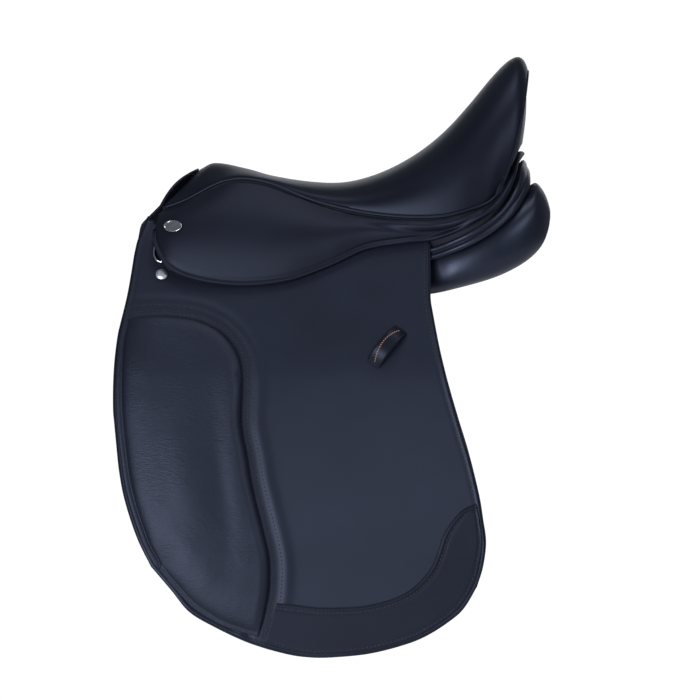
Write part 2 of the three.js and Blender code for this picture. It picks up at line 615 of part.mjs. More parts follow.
function stud() {
  const profile = [[0, -4], [STUD.shank, -4], [STUD.shank, 0.3], [STUD.radius, 0.3], [STUD.radius, 1.6],
    [STUD.radius - 1.6, STUD.cap], [0, STUD.cap]].map((p) => new THREE.Vector2(...p));
  return new THREE.LatheGeometry(profile, 20).rotateX(Math.PI);
}

function badge() {
  const oval = new THREE.Shape().absellipse(0, 0, 12.5, 7.5, 0, 2 * Math.PI, false, 0);
  const made = new THREE.ExtrudeGeometry(oval, { depth: 1.2, bevelEnabled: false, curveSegments: 12 });
  return made.rotateX(Math.PI / 2);
}

function nearSide(tag) {
  const side = new THREE.Group();
  const add = (name, geometry, material) => {
    const made = mesh(`${name}_${tag}`, geometry, material);
    side.add(made);
    return made;
  };
  const skirt = skirtSolid();
  add("skirt", shape(skirt.intersect(foldBox(1))), "leather");
  add("skirt_lobe", shape(skirt.intersect(foldBox(-1))), "leather");

  const studAt = [STUD.x, STUD.z];
  const head = solid(flapLayer(flapHeadOutline(), 0, FLAP, 12, 4));
  const studHole = solid(rod(STUD.shank + 2.2, ...studAt, [60, 150]));
  add("flap_head", shape(head.subtract(studHole)), "leather");
  add("flap", flapLayer(flapOutline, 0, FLAP, 14, 18), "leather");
  const crown = (u, v) => {
    const rim = Math.min(1, 5 * Math.min(u, 1 - u, v, 1 - v));
    return FLAP + GAP + 2.5 + PAD_RISE * Math.sin((Math.PI / 2) * rim) * (0.55 + 0.45 * Math.cos(2.4 * (u - 0.35)));
  };
  add("knee_pad", flapLayer(padOutline, FLAP + GAP, crown, 10, 14), "soft_leather");
  const patchShape = (u, v) => {
    const [a, b] = [line(patchTop)(u), line(patchBottom)(u)];
    return a.map((p, k) => p + (b[k] - p) * (0.02 + 0.96 * v));
  };
  const trimmed = (u, v) => patchShape(0.985 * u, v);
  add("grip_patch", flapLayer(trimmed, FLAP + GAP, FLAP + GAP + PATCH, 16, 2), "leather");
  add("sweat_flap", flapLayer(sweatFlapOutline, SWEAT_FLAP.back, SWEAT_FLAP.front, 8, 11), "lining");

  add("panel_cover", panelCover(), "leather");
  add("panel_flocking", shape(panel(4)), "wool");
  add("panel_band", panelBand(), "leather");

  add("billet_front", billet(-34), "lining");
  add("billet_rear", billet(30), "lining");
  add("billet_web", billetWeb(), "webbing");
  add("seat_web", seatLayer([0.11, 0.85], [0.125, 0.25], WEB_DEPTH, 1), "webbing");
  add("spring_steel", seatLayer([0.15, 0.81], [0.5, 0.625], SPRING_DEPTH, 1), "steel");

  const atBar = (name, geometry, material) => add(name, geometry.applyMatrix4(barPlace), material);
  atBar("stirrup_bar", stirrupBar(), "steel");
  atBar("bar_catch", catchLever(), "steel");
  atBar("catch_pin", catchPin(), "steel");
  atBar("bar_rivet_front", rivet(RIVETS[0]), "steel");
  atBar("bar_rivet_rear", rivet(RIVETS[1]), "steel");

  const pull = THREE.MathUtils.degToRad(RING.pull);
  const barX = RING.x - RING.bar * Math.cos(pull);
  const barZ = RING.z - RING.bar * Math.sin(pull);
  onFlap(add("dee_ring", dee(), "nickel"), barX, barZ, RING.pull + 90, FLAP + 4.4);
  onFlap(add("dee_chape", chape(), "leather"), barX, barZ, RING.pull + 90, FLAP + 4.4);
  onFlap(add("stud", stud(), "nickel"), ...studAt, 0, FLAP + 2 * GAP);
  onFlap(add("keeper", keeper(), "leather"), KEEPER.x, KEEPER.z, KEEPER.angle, FLAP + GAP);
  onSkirt(add("badge", badge(), "nickel"), ...BADGE);
  return side;
}

const saddle = new THREE.Group();
const offSide = nearSide("right");
offSide.scale.y = -1;
saddle.add(centre(), nearSide("left"), offSide);

export default saddle;
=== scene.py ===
"""An English dressage saddle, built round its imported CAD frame.

Shapes are worked out in millimetres as (x, out, z), where out is the distance from the saddle's centre plane,
and become metres in the row frame when a mesh is made. Paired pieces are made once and mirrored.
"""
import math

import bmesh
import bpy
import numpy as np
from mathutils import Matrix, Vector


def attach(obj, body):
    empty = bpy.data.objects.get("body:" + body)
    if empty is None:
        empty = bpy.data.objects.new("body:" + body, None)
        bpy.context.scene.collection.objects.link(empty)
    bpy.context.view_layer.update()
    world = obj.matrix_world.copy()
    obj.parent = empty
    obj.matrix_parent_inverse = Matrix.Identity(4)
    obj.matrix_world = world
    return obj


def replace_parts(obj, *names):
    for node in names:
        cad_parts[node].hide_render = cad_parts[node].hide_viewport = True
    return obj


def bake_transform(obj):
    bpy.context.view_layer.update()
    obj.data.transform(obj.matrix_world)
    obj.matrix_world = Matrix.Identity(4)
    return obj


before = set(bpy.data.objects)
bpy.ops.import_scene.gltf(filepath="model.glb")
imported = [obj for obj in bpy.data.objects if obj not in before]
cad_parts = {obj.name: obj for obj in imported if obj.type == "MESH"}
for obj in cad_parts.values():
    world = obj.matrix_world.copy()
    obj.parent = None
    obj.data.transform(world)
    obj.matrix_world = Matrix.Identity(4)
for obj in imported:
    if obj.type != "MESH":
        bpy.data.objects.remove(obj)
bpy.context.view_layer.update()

SIDES = {"left": -1, "right": 1}
GAP = 0.4  # left between pieces that lie on each other
COVER = 2.5  # thickness of the seat cover
FLAP = 5.0  # thickness of the flap
SKIRT = 4.5  # thickness of the skirt
SKIRT_LIFT = 6.0  # from the flap's outer face to the skirt's lower edge
PATCH = 1.6  # thickness of the grip patch
FLAP_FOLD = {"x": 0, "z": -1.5, "reach": 13}
SKIRT_FOLD = {"x": -80, "z": 61, "reach": 9}
STUD = (-195.6, 20.2)
RING = {"x": -188.08, "z": 53.39, "angle": 330, "lift": FLAP + 4.4, "half": 12.6, "depth": 23.5, "wire": 1.6}
KEEPER = {"x": 65.3, "z": -61.8, "angle": 54.6, "half_length": 27, "half_width": 9.2, "rise": 12, "wall": 2.4}
BILLET = {"lift": -4.5, "half": 12.5, "top": 42, "length": 372, "first_hole": -308, "pitch": 25, "holes": 6,
          "hole": 2.6, "seam": 9.8}
SEAM_INSET = 6.8  # from the flap's edge to its stitches
BADGE_AT = (0.1025, 0.57)  # on the skirt, along it and down it
OUTWARD = (0, 1, 0.3)  # the side of a flap or skirt that shows


# ---- curves ----
def through(points):
    """A smooth function of x through [x, y] points in rising x, level with its end points beyond them."""
    xs, ys = np.array(points, float).T
    before = np.maximum(np.arange(len(xs)) - 1, 0)
    after = np.minimum(np.arange(len(xs)) + 1, len(xs) - 1)
    slope = (ys[after] - ys[before]) / (xs[after] - xs[before])

    def at(x):
        x = np.clip(x, xs[0], xs[-1])
        i = np.clip(np.searchsorted(xs, x, side="right") - 1, 0, len(xs) - 2)
        w = xs[i + 1] - xs[i]
        t = (x - xs[i]) / w
        rise = (ys[i + 1] - ys[i]) * t * t * (3 - 2 * t)
        return ys[i] + rise + w * t * (1 - t) * ((1 - t) * slope[i] - t * slope[i + 1])

    return at


def knots(points):
    """A function of t in 0..1 along a smooth curve, reaching each point at an even step of t."""
    p = np.array(points, float)
    ends = np.vstack([2 * p[0] - p[1], p, 2 * p[-1] - p[-2]])

    def at(t):
        s = np.clip(t, 0, 1) * (len(p) - 1)
        i = np.minimum(s.astype(int), len(p) - 2)
        f = (s - i)[..., None]
        a, b, c, d = ends[i], ends[i + 1], ends[i + 2], ends[i + 3]
        return 0.5 * (2 * b + (c - a) * f + (2 * a - 5 * b + 4 * c - d) * f**2 + (3 * b - a - 3 * c + d) * f**3)

    return at


def line(points):
    """A function of t in 0..1 that runs evenly along a smooth curve."""
    at = knots(points)
    t = np.linspace(0, 1, 600)
    length = np.r_[0, np.cumsum(np.linalg.norm(np.diff(at(t), axis=0), axis=1))]
    return lambda u: at(np.interp(u, length / length[-1], t))


def patch(top, bottom, front, rear):
    """A Coons patch: (u, v) arrays to points, u from front to rear and v from top to bottom."""

    def at(u, v):
        a, b = u[..., None], v[..., None]
        corners = (1 - b) * ((1 - a) * top(0 * u) + a * top(0 * u + 1)) + b * (
            (1 - a) * bottom(0 * u) + a * bottom(0 * u + 1))
        return (1 - b) * top(u) + b * bottom(u) + (1 - a) * front(v) + a * rear(v) - corners

    return at


def grid(nu, nv):
    return np.meshgrid(np.linspace(0, 1, nu), np.linspace(0, 1, nv), indexing="ij")


def bell(x, middle, width):
    return np.exp(-(((x - middle) / width) ** 2))


def smoothstep(x, low, high):
    t = np.clip((x - low) / (high - low), 0, 1)
    return t * t * (3 - 2 * t)


def nearest(points, curve):
    """How far each point is from a curve given as sampled points, and the index of the nearest sample."""
    flat = points.reshape(-1, points.shape[-1])
    away = np.full(len(flat), 1e9)
    which = np.zeros(len(flat), int)
    for i in range(0, len(flat), 4000):
        d = np.linalg.norm(flat[i:i + 4000, None] - curve[None], axis=2)
        away[i:i + 4000] = d.min(1)
        which[i:i + 4000] = d.argmin(1)
    return away.reshape(points.shape[:-1]), which.reshape(points.shape[:-1])


def away_from(points, curve, steps=300):
    """How far each point is from a curve."""
    return nearest(points, curve(np.linspace(0, 1, steps)))[0]


# ---- the saddle's surfaces ----
FLARE = through([[-418, 211], [-300, 201], [-200, 189], [-100, 169.5], [-50, 152], [0, 130], [30, 116], [60, 101],
                 [88, 84], [110, 74]])
SPREAD = through([[-300, 0], [-100, 0.04], [0, 0.07], [60, 0.08]])


def flap_out(x, z):
    return FLARE(z) + SPREAD(z) * x


def on_flap(xz, lift):
    """Points at a height above the flap's inner face."""
    x, z = xz[..., 0], xz[..., 1]
    slope_x = SPREAD(z)
    slope_z = (flap_out(x, z + 3) - flap_out(x, z - 3)) / 6
    h = lift / np.sqrt(1 + slope_x**2 + slope_z**2)
    return np.stack([x - slope_x * h, flap_out(x, z) + h, z - slope_z * h], -1)


U = [0, 0.05, 0.15, 0.25, 0.38, 0.48, 0.58, 0.68, 0.77, 0.85, 0.92, 0.96, 0.98, 0.99, 1]
TOP_X = through(list(zip(U, [-153, -136, -100, -67, -20, 18, 58, 98, 131, 161, 189, 205, 216, 222.6, 226])))
TOP_Z = through(list(zip(U, [143, 151, 145, 136, 129, 129, 140, 161, 187, 219.5, 254.5, 270.5, 275, 270.5, 260])))
V = [0, 0.05, 0.15, 0.25, 0.38, 0.48, 0.58, 0.68, 0.77, 0.85, 0.92, 1]
SEAM_X = through(list(zip(V, [-196, -172, -122, -78, -23, 18, 58, 98, 131, 158, 180, 196])))
SEAM_OUT = through(list(zip(V, [62, 67, 76, 83, 93, 102, 112, 120, 124, 124, 119, 108])))
SEAM_Z = through(list(zip(V, [100.5, 109, 133, 132, 111, 100, 93.5, 91, 92.5, 99, 107, 120])))
SQUARE = through([[0, 2], [0.4, 2.2], [0.7, 2.7], [1, 2.3]])


def on_seat(u, v, depth=0.0):
    """v runs from -1 at the off-side seam to 1 at the near-side seam."""
    turn = np.pi / 2 * np.abs(v)
    power = 2 / SQUARE(u)
    side = np.sin(turn) ** power * np.sign(v)
    up = np.maximum(np.cos(turn), 0) ** power
    bow = (5 * np.sin(np.pi * up) + 2.5 * up) * smoothstep(u, 0.85, 1)
    return np.stack([SEAM_X(u) + (TOP_X(u) - SEAM_X(u)) * up + bow, (SEAM_OUT(u) - depth) * side,
                     SEAM_Z(u) + (TOP_Z(u) - SEAM_Z(u)) * up - depth], -1)


SKIRT_SEAM = [[-196, 65, 97], [-172, 71, 105.5], [-143, 76.5, 119.5], [-113, 81, 130], [-78, 86, 127],
              [-40, 92, 113.5], [0, 101, 99.5], [40, 111, 91], [87, 121, 86.5], [122, 126.5, 86.5],
              [158, 127, 94.5], [188, 119, 106.5], [205, 98, 132], [214, 64, 152], [219, 30, 162], [221, 1, 165]]
RING_ROOM = through([[-207, 8], [-180, 7], [-140, 0]])
SKIRT_EDGE = [[x, float(flap_out(x, z) + FLAP + SKIRT_LIFT + RING_ROOM(x)), z] for x, z in [
    (-207.5, 72), (-204, 52), (-190, 30), (-158, 15.5), (-105, 8.8), (-50, 14.5), (-1, 32), (40, 51), (87, 59.4),
    (120, 63)]] + [[160, 131, 79], [191, 125, 100], [211, 104, 128], [221, 68, 148], [226, 32, 156], [228, 1, 158]]
BAND_TOP = [[100, 108, 52], [120, 114.5, 55.5], [140, 124, 63], [160, 129, 73], [180, 127, 85], [198, 117, 101],
            [213, 100.5, 124], [223, 68, 144.5], [228.5, 32, 153], [230, 1, 155]]
BAND_BOTTOM = [[100, 110, 36], [120, 117, 40], [140, 126, 47], [160, 131, 55.5], [180, 130, 66.5],
               [199, 122, 80.5], [215, 107, 97], [228, 82, 118], [233, 40, 134], [233, 1, 139]]


def ruled(top, bottom, bulge):
    """A surface between two curves with the same knots, swelling outwards by bulge(u) halfway down."""
    a, b = knots(top), knots(bottom)

    def at(u, v, lift=0.0):
        step = 1e-3
        tangent = (a(u + step) - a(u - step)) * (1 - v)[..., None] + (b(u + step) - b(u - step)) * v[..., None]
        normal = -np.cross(b(u) - a(u), tangent)
        normal /= np.linalg.norm(normal, axis=-1, keepdims=True) + 1e-9
        base = a(u) * (1 - v)[..., None] + b(u) * v[..., None]
        return base + normal * (bulge(u) * np.sin(np.pi * v) + lift)[..., None]

    return at


on_skirt = ruled(SKIRT_SEAM, SKIRT_EDGE, through([[0, 5], [0.12, 14], [0.4, 14], [0.6, 2]]))
on_band = ruled(BAND_TOP, BAND_BOTTOM, lambda u: 1.5 + 0 * u)

FRONT_LOW = [-207.9, -313]
REAR_LOW = [168.6, -336]
FLAP_TOP = [[-213.5, 87], [-170, 72], [0, 70], [115.5, 66]]
FLAP_FRONT = [[-213.5, 87], [-218, 75], [-224, 61.2], [-228, 44], [-231.5, 22], [-235.8, -2], [-240.5, -22],
              [-244, -36], [-247, -50], [-250.3, -77], [-251.8, -105], [-251.8, -133], [-250.6, -147],
              [-248, -174], [-245, -202], [-240, -230], [-232, -258], [-222, -285], FRONT_LOW]
FLAP_BOTTOM = [FRONT_LOW, [-184, -341], [-164, -365], [-136, -382], [-95, -401], [-53, -413.5], [-25, -417.5],
               [2, -417.5], [44, -413.5], [85.5, -403], [113, -391.5], [141, -373], [155, -359], REAR_LOW]
FLAP_REAR = [[115.5, 66], [115.5, 40], [115.5, 12], [115.5, -6], [118, -22], [126, -63.5], [136, -105],
             [148, -147], [160.5, -188], [171, -230], [175.6, -258], [179, -285], [175.6, -313], REAR_LOW]
PAD_TOP = [[-240, -34], [-223, -30.6], [-201, -29], [-178, -30], [-156, -33.5], [-137, -41], [-125, -49],
           [-113.5, -62], [-106, -77], [-103, -95]]
PAD_FRONT = [[-240, -34], [-245, -55], [-247.5, -90], [-247.8, -130], [-244, -174.4], [-235.5, -229.8],
             [-217.5, -285.3], [-204, -311]]
PAD_REAR = [[-103, -95], [-103, -115], [-104, -139], [-103, -159], [-97, -189], [-93, -214], [-88, -236],
            [-80, -268], [-73, -297], [-71, -318], [-72, -342.5], [-75, -359], [-79, -376.5], [-84.7, -394]]
PAD_BOTTOM = [[-204, -311], [-180, -339], [-161, -359], [-134, -377], [-110, -387], [-84.7, -394]]
PATCH_TOP = [[-62.4, -355], [-42, -357], [-16, -360], [17, -360], [44.6, -357.3], [72, -350], [90.6, -340.7],
             [105, -328], [116.4, -313], [124, -294.5], [129.4, -278], [139, -262], [151.3, -248.7], [164, -242],
             [171, -240.5]]
PATCH_BOTTOM = [[-77, -401], [-53, -408.5], [-25, -413.3], [2, -413.5], [43, -409.5], [84, -399.2], [111, -387.6],
                [138, -369.5], [151.5, -356], [164.5, -334], [171, -312], [174.3, -285], [171.5, -259],
                [169, -246], [171, -240.5]]

flap_outline = patch(line(FLAP_TOP), line(FLAP_BOTTOM), line(FLAP_FRONT), line(FLAP_REAR))
pad_outline = patch(line(PAD_TOP), line(PAD_BOTTOM), line(PAD_FRONT), line(PAD_REAR))


# ---- meshes ----
def tuck(points):
    """Draws the rear ends of the skirt and welts in under the cantle, and together at the centre plane."""
    points[..., 0] -= 7 * smoothstep(points[..., 2], 118, 158) * smoothstep(points[..., 0], 190, 225)
    points[..., 1] -= 1.4 * (1 - smoothstep(points[..., 1], 1, 30))
    return points


def normals(points, toward):
    """Unit normals of a grid of points, on the side that faces toward."""
    n = np.cross(np.gradient(points, axis=0), np.gradient(points, axis=1))
    n /= np.linalg.norm(n, axis=-1, keepdims=True) + 1e-9
    return n if (n @ np.array(toward, float)).sum() > 0 else -n


def border(nu, nv):
    """Grid indices once round its edge."""
    i = [(a, 0) for a in range(nu - 1)] + [(nu - 1, b) for b in range(nv - 1)]
    return i + [(a, nv - 1) for a in range(nu - 1, 0, -1)] + [(0, b) for b in range(nv - 1, 0, -1)]


def shell(base, thickness, toward, lift=None, ring=4):
    """A sheet of leather with a rounded edge. base is its outer face as a grid, and lift raises that face only."""
    nu, nv = base.shape[:2]
    n = normals(base, toward)
    outer = base + n * lift[..., None] if lift is not None else base.copy()
    inner = base - n * thickness
    loop = border(nu, nv)
    rows, cols = np.array(loop).T
    edge = base[rows, cols]
    tangent = np.roll(edge, -1, 0) - np.roll(edge, 1, 0)
    away = np.cross(tangent, n[rows, cols])
    away /= np.linalg.norm(away, axis=1, keepdims=True) + 1e-9
    inside = base[np.clip(rows, 1, nu - 2), np.clip(cols, 1, nv - 2)]
    away *= np.sign(((edge - inside) * away).sum(1))[:, None]
    r = thickness / 2
    top = lift[rows, cols][:, None] if lift is not None else 0
    outer[rows, cols] = edge - away * r + n[rows, cols] * top
    inner[rows, cols] = edge - away * r - n[rows, cols] * thickness
    rim = []
    for k in range(1, ring):
        turn = math.pi * k / ring
        drop = (1 - math.cos(turn)) / 2
        fall = top * (1 - drop) - thickness * drop
        rim.append(edge - away * r * (1 - math.sin(turn)) + n[rows, cols] * fall)
    points = np.vstack([outer.reshape(-1, 3), inner.reshape(-1, 3), *rim])
    at = np.arange(nu * nv).reshape(nu, nv)
    quads = np.stack([at[:-1, :-1], at[1:, :-1], at[1:, 1:], at[:-1, 1:]], -1).reshape(-1, 4)
    faces = [quads, quads[:, ::-1] + nu * nv]
    loops = [at[rows, cols]] + [2 * nu * nv + k * len(loop) + np.arange(len(loop)) for k in range(ring - 1)]
    loops.append(at[rows, cols] + nu * nv)
    for a, b in zip(loops, loops[1:]):
        faces.append(np.stack([a, b, np.roll(b, -1), np.roll(a, -1)], -1))
    return points, np.vstack(faces)


def circle(centre, radius, one, two, sides):
    turn = np.linspace(0, 2 * np.pi, sides, endpoint=False)[:, None]
    return centre + radius * (np.cos(turn) * one + np.sin(turn) * two)


def rings(rows, tips):
    """A closed skin over rings of points, one row for each ring, with a point to close each end."""
    rows = np.stack(rows)
    count, sides = rows.shape[:2]
    at = np.arange(count * sides).reshape(count, sides)
    quads = np.stack([at[:-1], np.roll(at[:-1], -1, 1), np.roll(at[1:], -1, 1), at[1:]], -1)
    faces = quads.reshape(-1, 4).tolist()
    for tip, row in ((at.size, at[0]), (at.size + 1, at[-1])):
        faces += [[tip, row[k], row[(k + 1) % sides]] for k in range(sides)]
    return np.vstack([rows.reshape(-1, 3), *tips]), faces


ROUNDING = ((0.92, 0.38), (0.7, 0.7), (0.38, 0.92))  # how far along and how wide the rings of a cord's end are


def tube(points, radius, sides=10):
    """A closed cord with rounded ends along points."""
    p = np.array(points, float)
    tangent = np.gradient(p, axis=0)
    tangent /= np.linalg.norm(tangent, axis=1, keepdims=True)
    across = np.cross(tangent, [0.0, 0.3, 1.0])
    across /= np.linalg.norm(across, axis=1, keepdims=True)
    up = np.cross(tangent, across)
    last = len(p) - 1
    stations = [(p[0] - tangent[0] * radius * c, radius * s, 0) for c, s in ROUNDING]
    stations += [(p[i], radius, i) for i in range(len(p))]
    stations += [(p[-1] + tangent[-1] * radius * c, radius * s, last) for c, s in reversed(ROUNDING)]
    rows = [circle(centre, r, across[i], up[i], sides) for centre, r, i in stations]
    return rings(rows, [p[0] - tangent[0] * radius, p[-1] + tangent[-1] * radius])


def stitches(path, out, pitch=4.6, length=3.1, radius=0.62):
    """Thread lying in short stitches along a path of points, on the side of the surface that out points to."""
    p = np.array(path, float)
    run = np.r_[0, np.cumsum(np.linalg.norm(np.diff(p, axis=0), axis=1))]
    n = np.array(out, float) + np.zeros_like(p)
    count = max(2, int(run[-1] / pitch))
    half = length / 2
    made = []
    for k in range(count):
        middle = (k + 0.5) * run[-1] / count
        a, b, up = (np.array([np.interp(at, run, track[:, c]) for c in range(3)])
                    for at, track in ((middle - half, p), (middle + half, p), (middle, n)))
        along = (b - a) / np.linalg.norm(b - a)
        side = np.cross(along, up)
        side /= np.linalg.norm(side)
        up = np.cross(side, along)
        centre = (a + b) / 2 + up * (radius * 0.6 - 0.1)
        rows = [circle(centre + along * half * t - up * radius * 0.5 * t * t, radius * grow, side, up, 6)
                for t, grow in ((-0.62, 0.8), (0, 1.0), (0.62, 0.8))]
        made.append(rings(rows, [centre - along * half - up * radius, centre + along * half - up * radius]))
    return merged(*made)


def merged(*parts):
    """Several (points, faces) as one."""
    points, faces, base = [], [], 0
    for p, f in parts:
        points.append(p)
        faces += [[int(i) + base for i in face] for face in f]
        base += len(p)
    return np.vstack(points), faces


def piece(name, solid, material, side=-1):
    """A mesh object from ((x, out, z) points in millimetres, faces)."""
    points, faces = solid
    p = np.array(points, float) / 1000
    p[:, 1] *= side
    mesh = bpy.data.meshes.new(name)
    mesh.from_pydata(p.tolist(), [], [list(map(int, f)) for f in faces])
    bm = bmesh.new()
    bm.from_mesh(mesh)
    bmesh.ops.recalc_face_normals(bm, faces=bm.faces)
    bm.to_mesh(mesh)
    bm.free()
    mesh.polygons.foreach_set("use_smooth", [True] * len(mesh.polygons))
    obj = bpy.data.objects.new(name, mesh)
    bpy.context.scene.collection.objects.link(obj)
    mesh.materials.append(MATERIALS[material])
    return obj


def bake(obj):
    """Applies an object's modifiers to its mesh."""
    graph = bpy.context.evaluated_depsgraph_get()
    made = bpy.data.meshes.new_from_object(obj.evaluated_get(graph))
    obj.modifiers.clear()
    obj.data = made
    return obj


# ---- materials ----
def node_material(name):
    material = bpy.data.materials.new(name)
    material.use_nodes = True
    tree = material.node_tree
    shader = tree.nodes["Principled BSDF"]

    def add(kind, **inputs):
        made = tree.nodes.new(kind)
        for key, value in inputs.items():
            if hasattr(made, key):
                setattr(made, key, value)
            else:
                socket = made.inputs[key.replace("_", " ")]
                if isinstance(value, bpy.types.NodeSocket):
                    tree.links.new(value, socket)
                else:
                    socket.default_value = value
        return made

    return material, tree.links.new, shader, add


def values(node, **sockets):
    """Gives a node's sockets plain values, with _ for each space in a socket's name."""
    for key, value in sockets.items():
        node.inputs[key.replace("_", " ")].default_value = value


def placed(add, scale=(1, 1, 1)):
    coordinates = add("ShaderNodeTexCoord")
    mapping = add("ShaderNodeMapping")
    values(mapping, Scale=scale)
    mapping.id_data.links.new(coordinates.outputs["Object"], mapping.inputs["Vector"])
    return mapping.outputs["Vector"]


def ramp(add, link, factor, low, high, start=0.0, end=1.0):
    made = add("ShaderNodeValToRGB")
    made.color_ramp.elements[0].position = start
    made.color_ramp.elements[1].position = end
    made.color_ramp.elements[0].color = (*low, 1)
    made.color_ramp.elements[1].color = (*high, 1)
    link(factor, made.inputs["Fac"])
    return made.outputs["Color"]


def bump(add, link, height, strength, distance, under=None):
    """Relief from a height socket, over any relief already there; the normal to give the shader."""
    made = add("ShaderNodeBump", Strength=strength, Distance=distance)
    link(height, made.inputs["Height"])
    if under:
        link(under, made.inputs["Normal"])
    return made.outputs["Normal"]


def roughen(add, link, shader, noise, rough):
    """Roughness that follows a noise between two values."""
    made = add("ShaderNodeMapRange", To_Min=rough[0], To_Max=rough[1])
    link(noise.outputs["Fac"], made.inputs["Value"])
    link(made.outputs["Result"], shader.inputs["Roughness"])


def leather(name, dark, light, rough, depth, specular, pore=1500, wrinkle=0.0):
    """Finished leather: pebbled pores, long soft creases, uneven dye and edges rubbed lighter."""
    material, link, shader, add = node_material(name)
    where = placed(add)
    pores = add("ShaderNodeTexVoronoi", Scale=pore, Randomness=1.0, Vector=where)
    fine = add("ShaderNodeTexNoise", Scale=900.0, Detail=4.0, Roughness=0.6, Vector=where)
    broad = add("ShaderNodeTexNoise", Scale=14.0, Detail=5.0, Roughness=0.55, Vector=where)
    crease_at = placed(add, (260, 260, 900))
    crease = add("ShaderNodeTexNoise", Scale=0.55, Detail=3.0, Roughness=0.5, Distortion=0.6, Vector=crease_at)
    patches = add("ShaderNodeTexNoise", Scale=22.0, Detail=2.0, Vector=where)
    masked = add("ShaderNodeMath", operation="MULTIPLY")
    link(ramp(add, link, patches.outputs["Fac"], (0.15,) * 3, (1,) * 3, 0.42, 0.62), masked.inputs[0])
    link(crease.outputs["Fac"], masked.inputs[1])
    dye = ramp(add, link, broad.outputs["Fac"], dark, light, 0.3, 0.72)
    worn = add("ShaderNodeNewGeometry")
    edge = ramp(add, link, worn.outputs["Pointiness"], (0, 0, 0), (1, 1, 1), 0.53, 0.62)
    mix = add("ShaderNodeMix", data_type="RGBA")
    strength = add("ShaderNodeMath", operation="MULTIPLY")
    link(edge, strength.inputs[0])
    strength.inputs[1].default_value = 0.35
    link(strength.outputs[0], mix.inputs["Factor"])
    link(dye, mix.inputs["A"])
    mix.inputs["B"].default_value = (*[c * 2.4 + 0.01 for c in light], 1)
    link(mix.outputs["Result"], shader.inputs["Base Color"])
    roughen(add, link, shader, fine, rough)
    relief = bump(add, link, masked.outputs[0], wrinkle, 0.0018)
    relief = bump(add, link, pores.outputs["Distance"], depth, 0.00035, relief)
    relief = bump(add, link, fine.outputs["Fac"], depth * 0.6, 0.0002, relief)
    link(relief, shader.inputs["Normal"])
    values(shader, Specular_IOR_Level=specular, Specular_Tint=(0.66, 0.72, 1, 1))
    return material


def metal(name, color, rough, scratch):
    """Plated or forged metal, with fine scratches and duller patches."""
    material, link, shader, add = node_material(name)
    values(shader, Metallic=1.0)
    where = placed(add, (1, 6, 1))
    lines = add("ShaderNodeTexNoise", Scale=700.0, Detail=6.0, Roughness=0.7, Vector=where)
    dull = add("ShaderNodeTexNoise", Scale=90.0, Detail=3.0, Vector=placed(add))
    roughen(add, link, shader, dull, rough)
    tone = ramp(add, link, dull.outputs["Fac"], tuple(c * 0.75 for c in color), color, 0.3, 0.7)
    link(tone, shader.inputs["Base Color"])
    link(bump(add, link, lines.outputs["Fac"], scratch, 0.0001), shader.inputs["Normal"])
    return material


def fibre(name, dark, light, scale, depth, stretch=(1, 1, 1)):
    """Wool, foam, thread and webbing: matt, with a texture of strands or cells."""
    material, link, shader, add = node_material(name)
    where = placed(add, stretch)
    strands = add("ShaderNodeTexNoise", Scale=scale, Detail=6.0, Roughness=0.7, Distortion=0.8, Vector=where)
    link(ramp(add, link, strands.outputs["Fac"], dark, light, 0.35, 0.65), shader.inputs["Base Color"])
    link(bump(add, link, strands.outputs["Fac"], depth, 0.0008), shader.inputs["Normal"])
    values(shader, Roughness=0.9, Sheen_Weight=0.2)
    return material


def webbing(name, dark, light):
    """Plain-woven webbing: two crossed bands of threads."""
    material, link, shader, add = node_material(name)
    where = placed(add)
    warp = add("ShaderNodeTexWave", Scale=330.0, Distortion=0.6, bands_direction="X", Vector=where)
    weft = add("ShaderNodeTexWave", Scale=330.0, Distortion=0.6, bands_direction="Z", Vector=where)
    both = add("ShaderNodeMath", operation="MULTIPLY")
    link(warp.outputs["Fac"], both.inputs[0])
    link(weft.outputs["Fac"], both.inputs[1])
    link(ramp(add, link, both.outputs[0], dark, light, 0.0, 0.7), shader.inputs["Base Color"])
    link(bump(add, link, both.outputs[0], 0.6, 0.0005), shader.inputs["Normal"])
    values(shader, Roughness=0.85)
    return material


def beech(name):
    """Laminated beech: long grain, pores and thin dark glue lines."""
    material, link, shader, add = node_material(name)
    grain = add("ShaderNodeTexNoise", Scale=60.0, Detail=8.0, Roughness=0.7, Distortion=1.2,
                Vector=placed(add, (1, 9, 9)))
    plies = add("ShaderNodeTexWave", Scale=110.0, Distortion=0.4, bands_direction="Z", Vector=placed(add))
    tone = ramp(add, link, grain.outputs["Fac"], (0.23, 0.12, 0.055), (0.5, 0.32, 0.17), 0.3, 0.7)
    glue = ramp(add, link, plies.outputs["Fac"], (0.55, 0.5, 0.45), (1, 1, 1), 0.0, 0.25)
    mix = add("ShaderNodeMix", data_type="RGBA", blend_type="MULTIPLY")
    mix.inputs["Factor"].default_value = 0.7
    link(tone, mix.inputs["A"])
    link(glue, mix.inputs["B"])
    link(mix.outputs["Result"], shader.inputs["Base Color"])
    link(bump(add, link, grain.outputs["Fac"], 0.25, 0.0004), shader.inputs["Normal"])
    values(shader, Roughness=0.55)
    return material


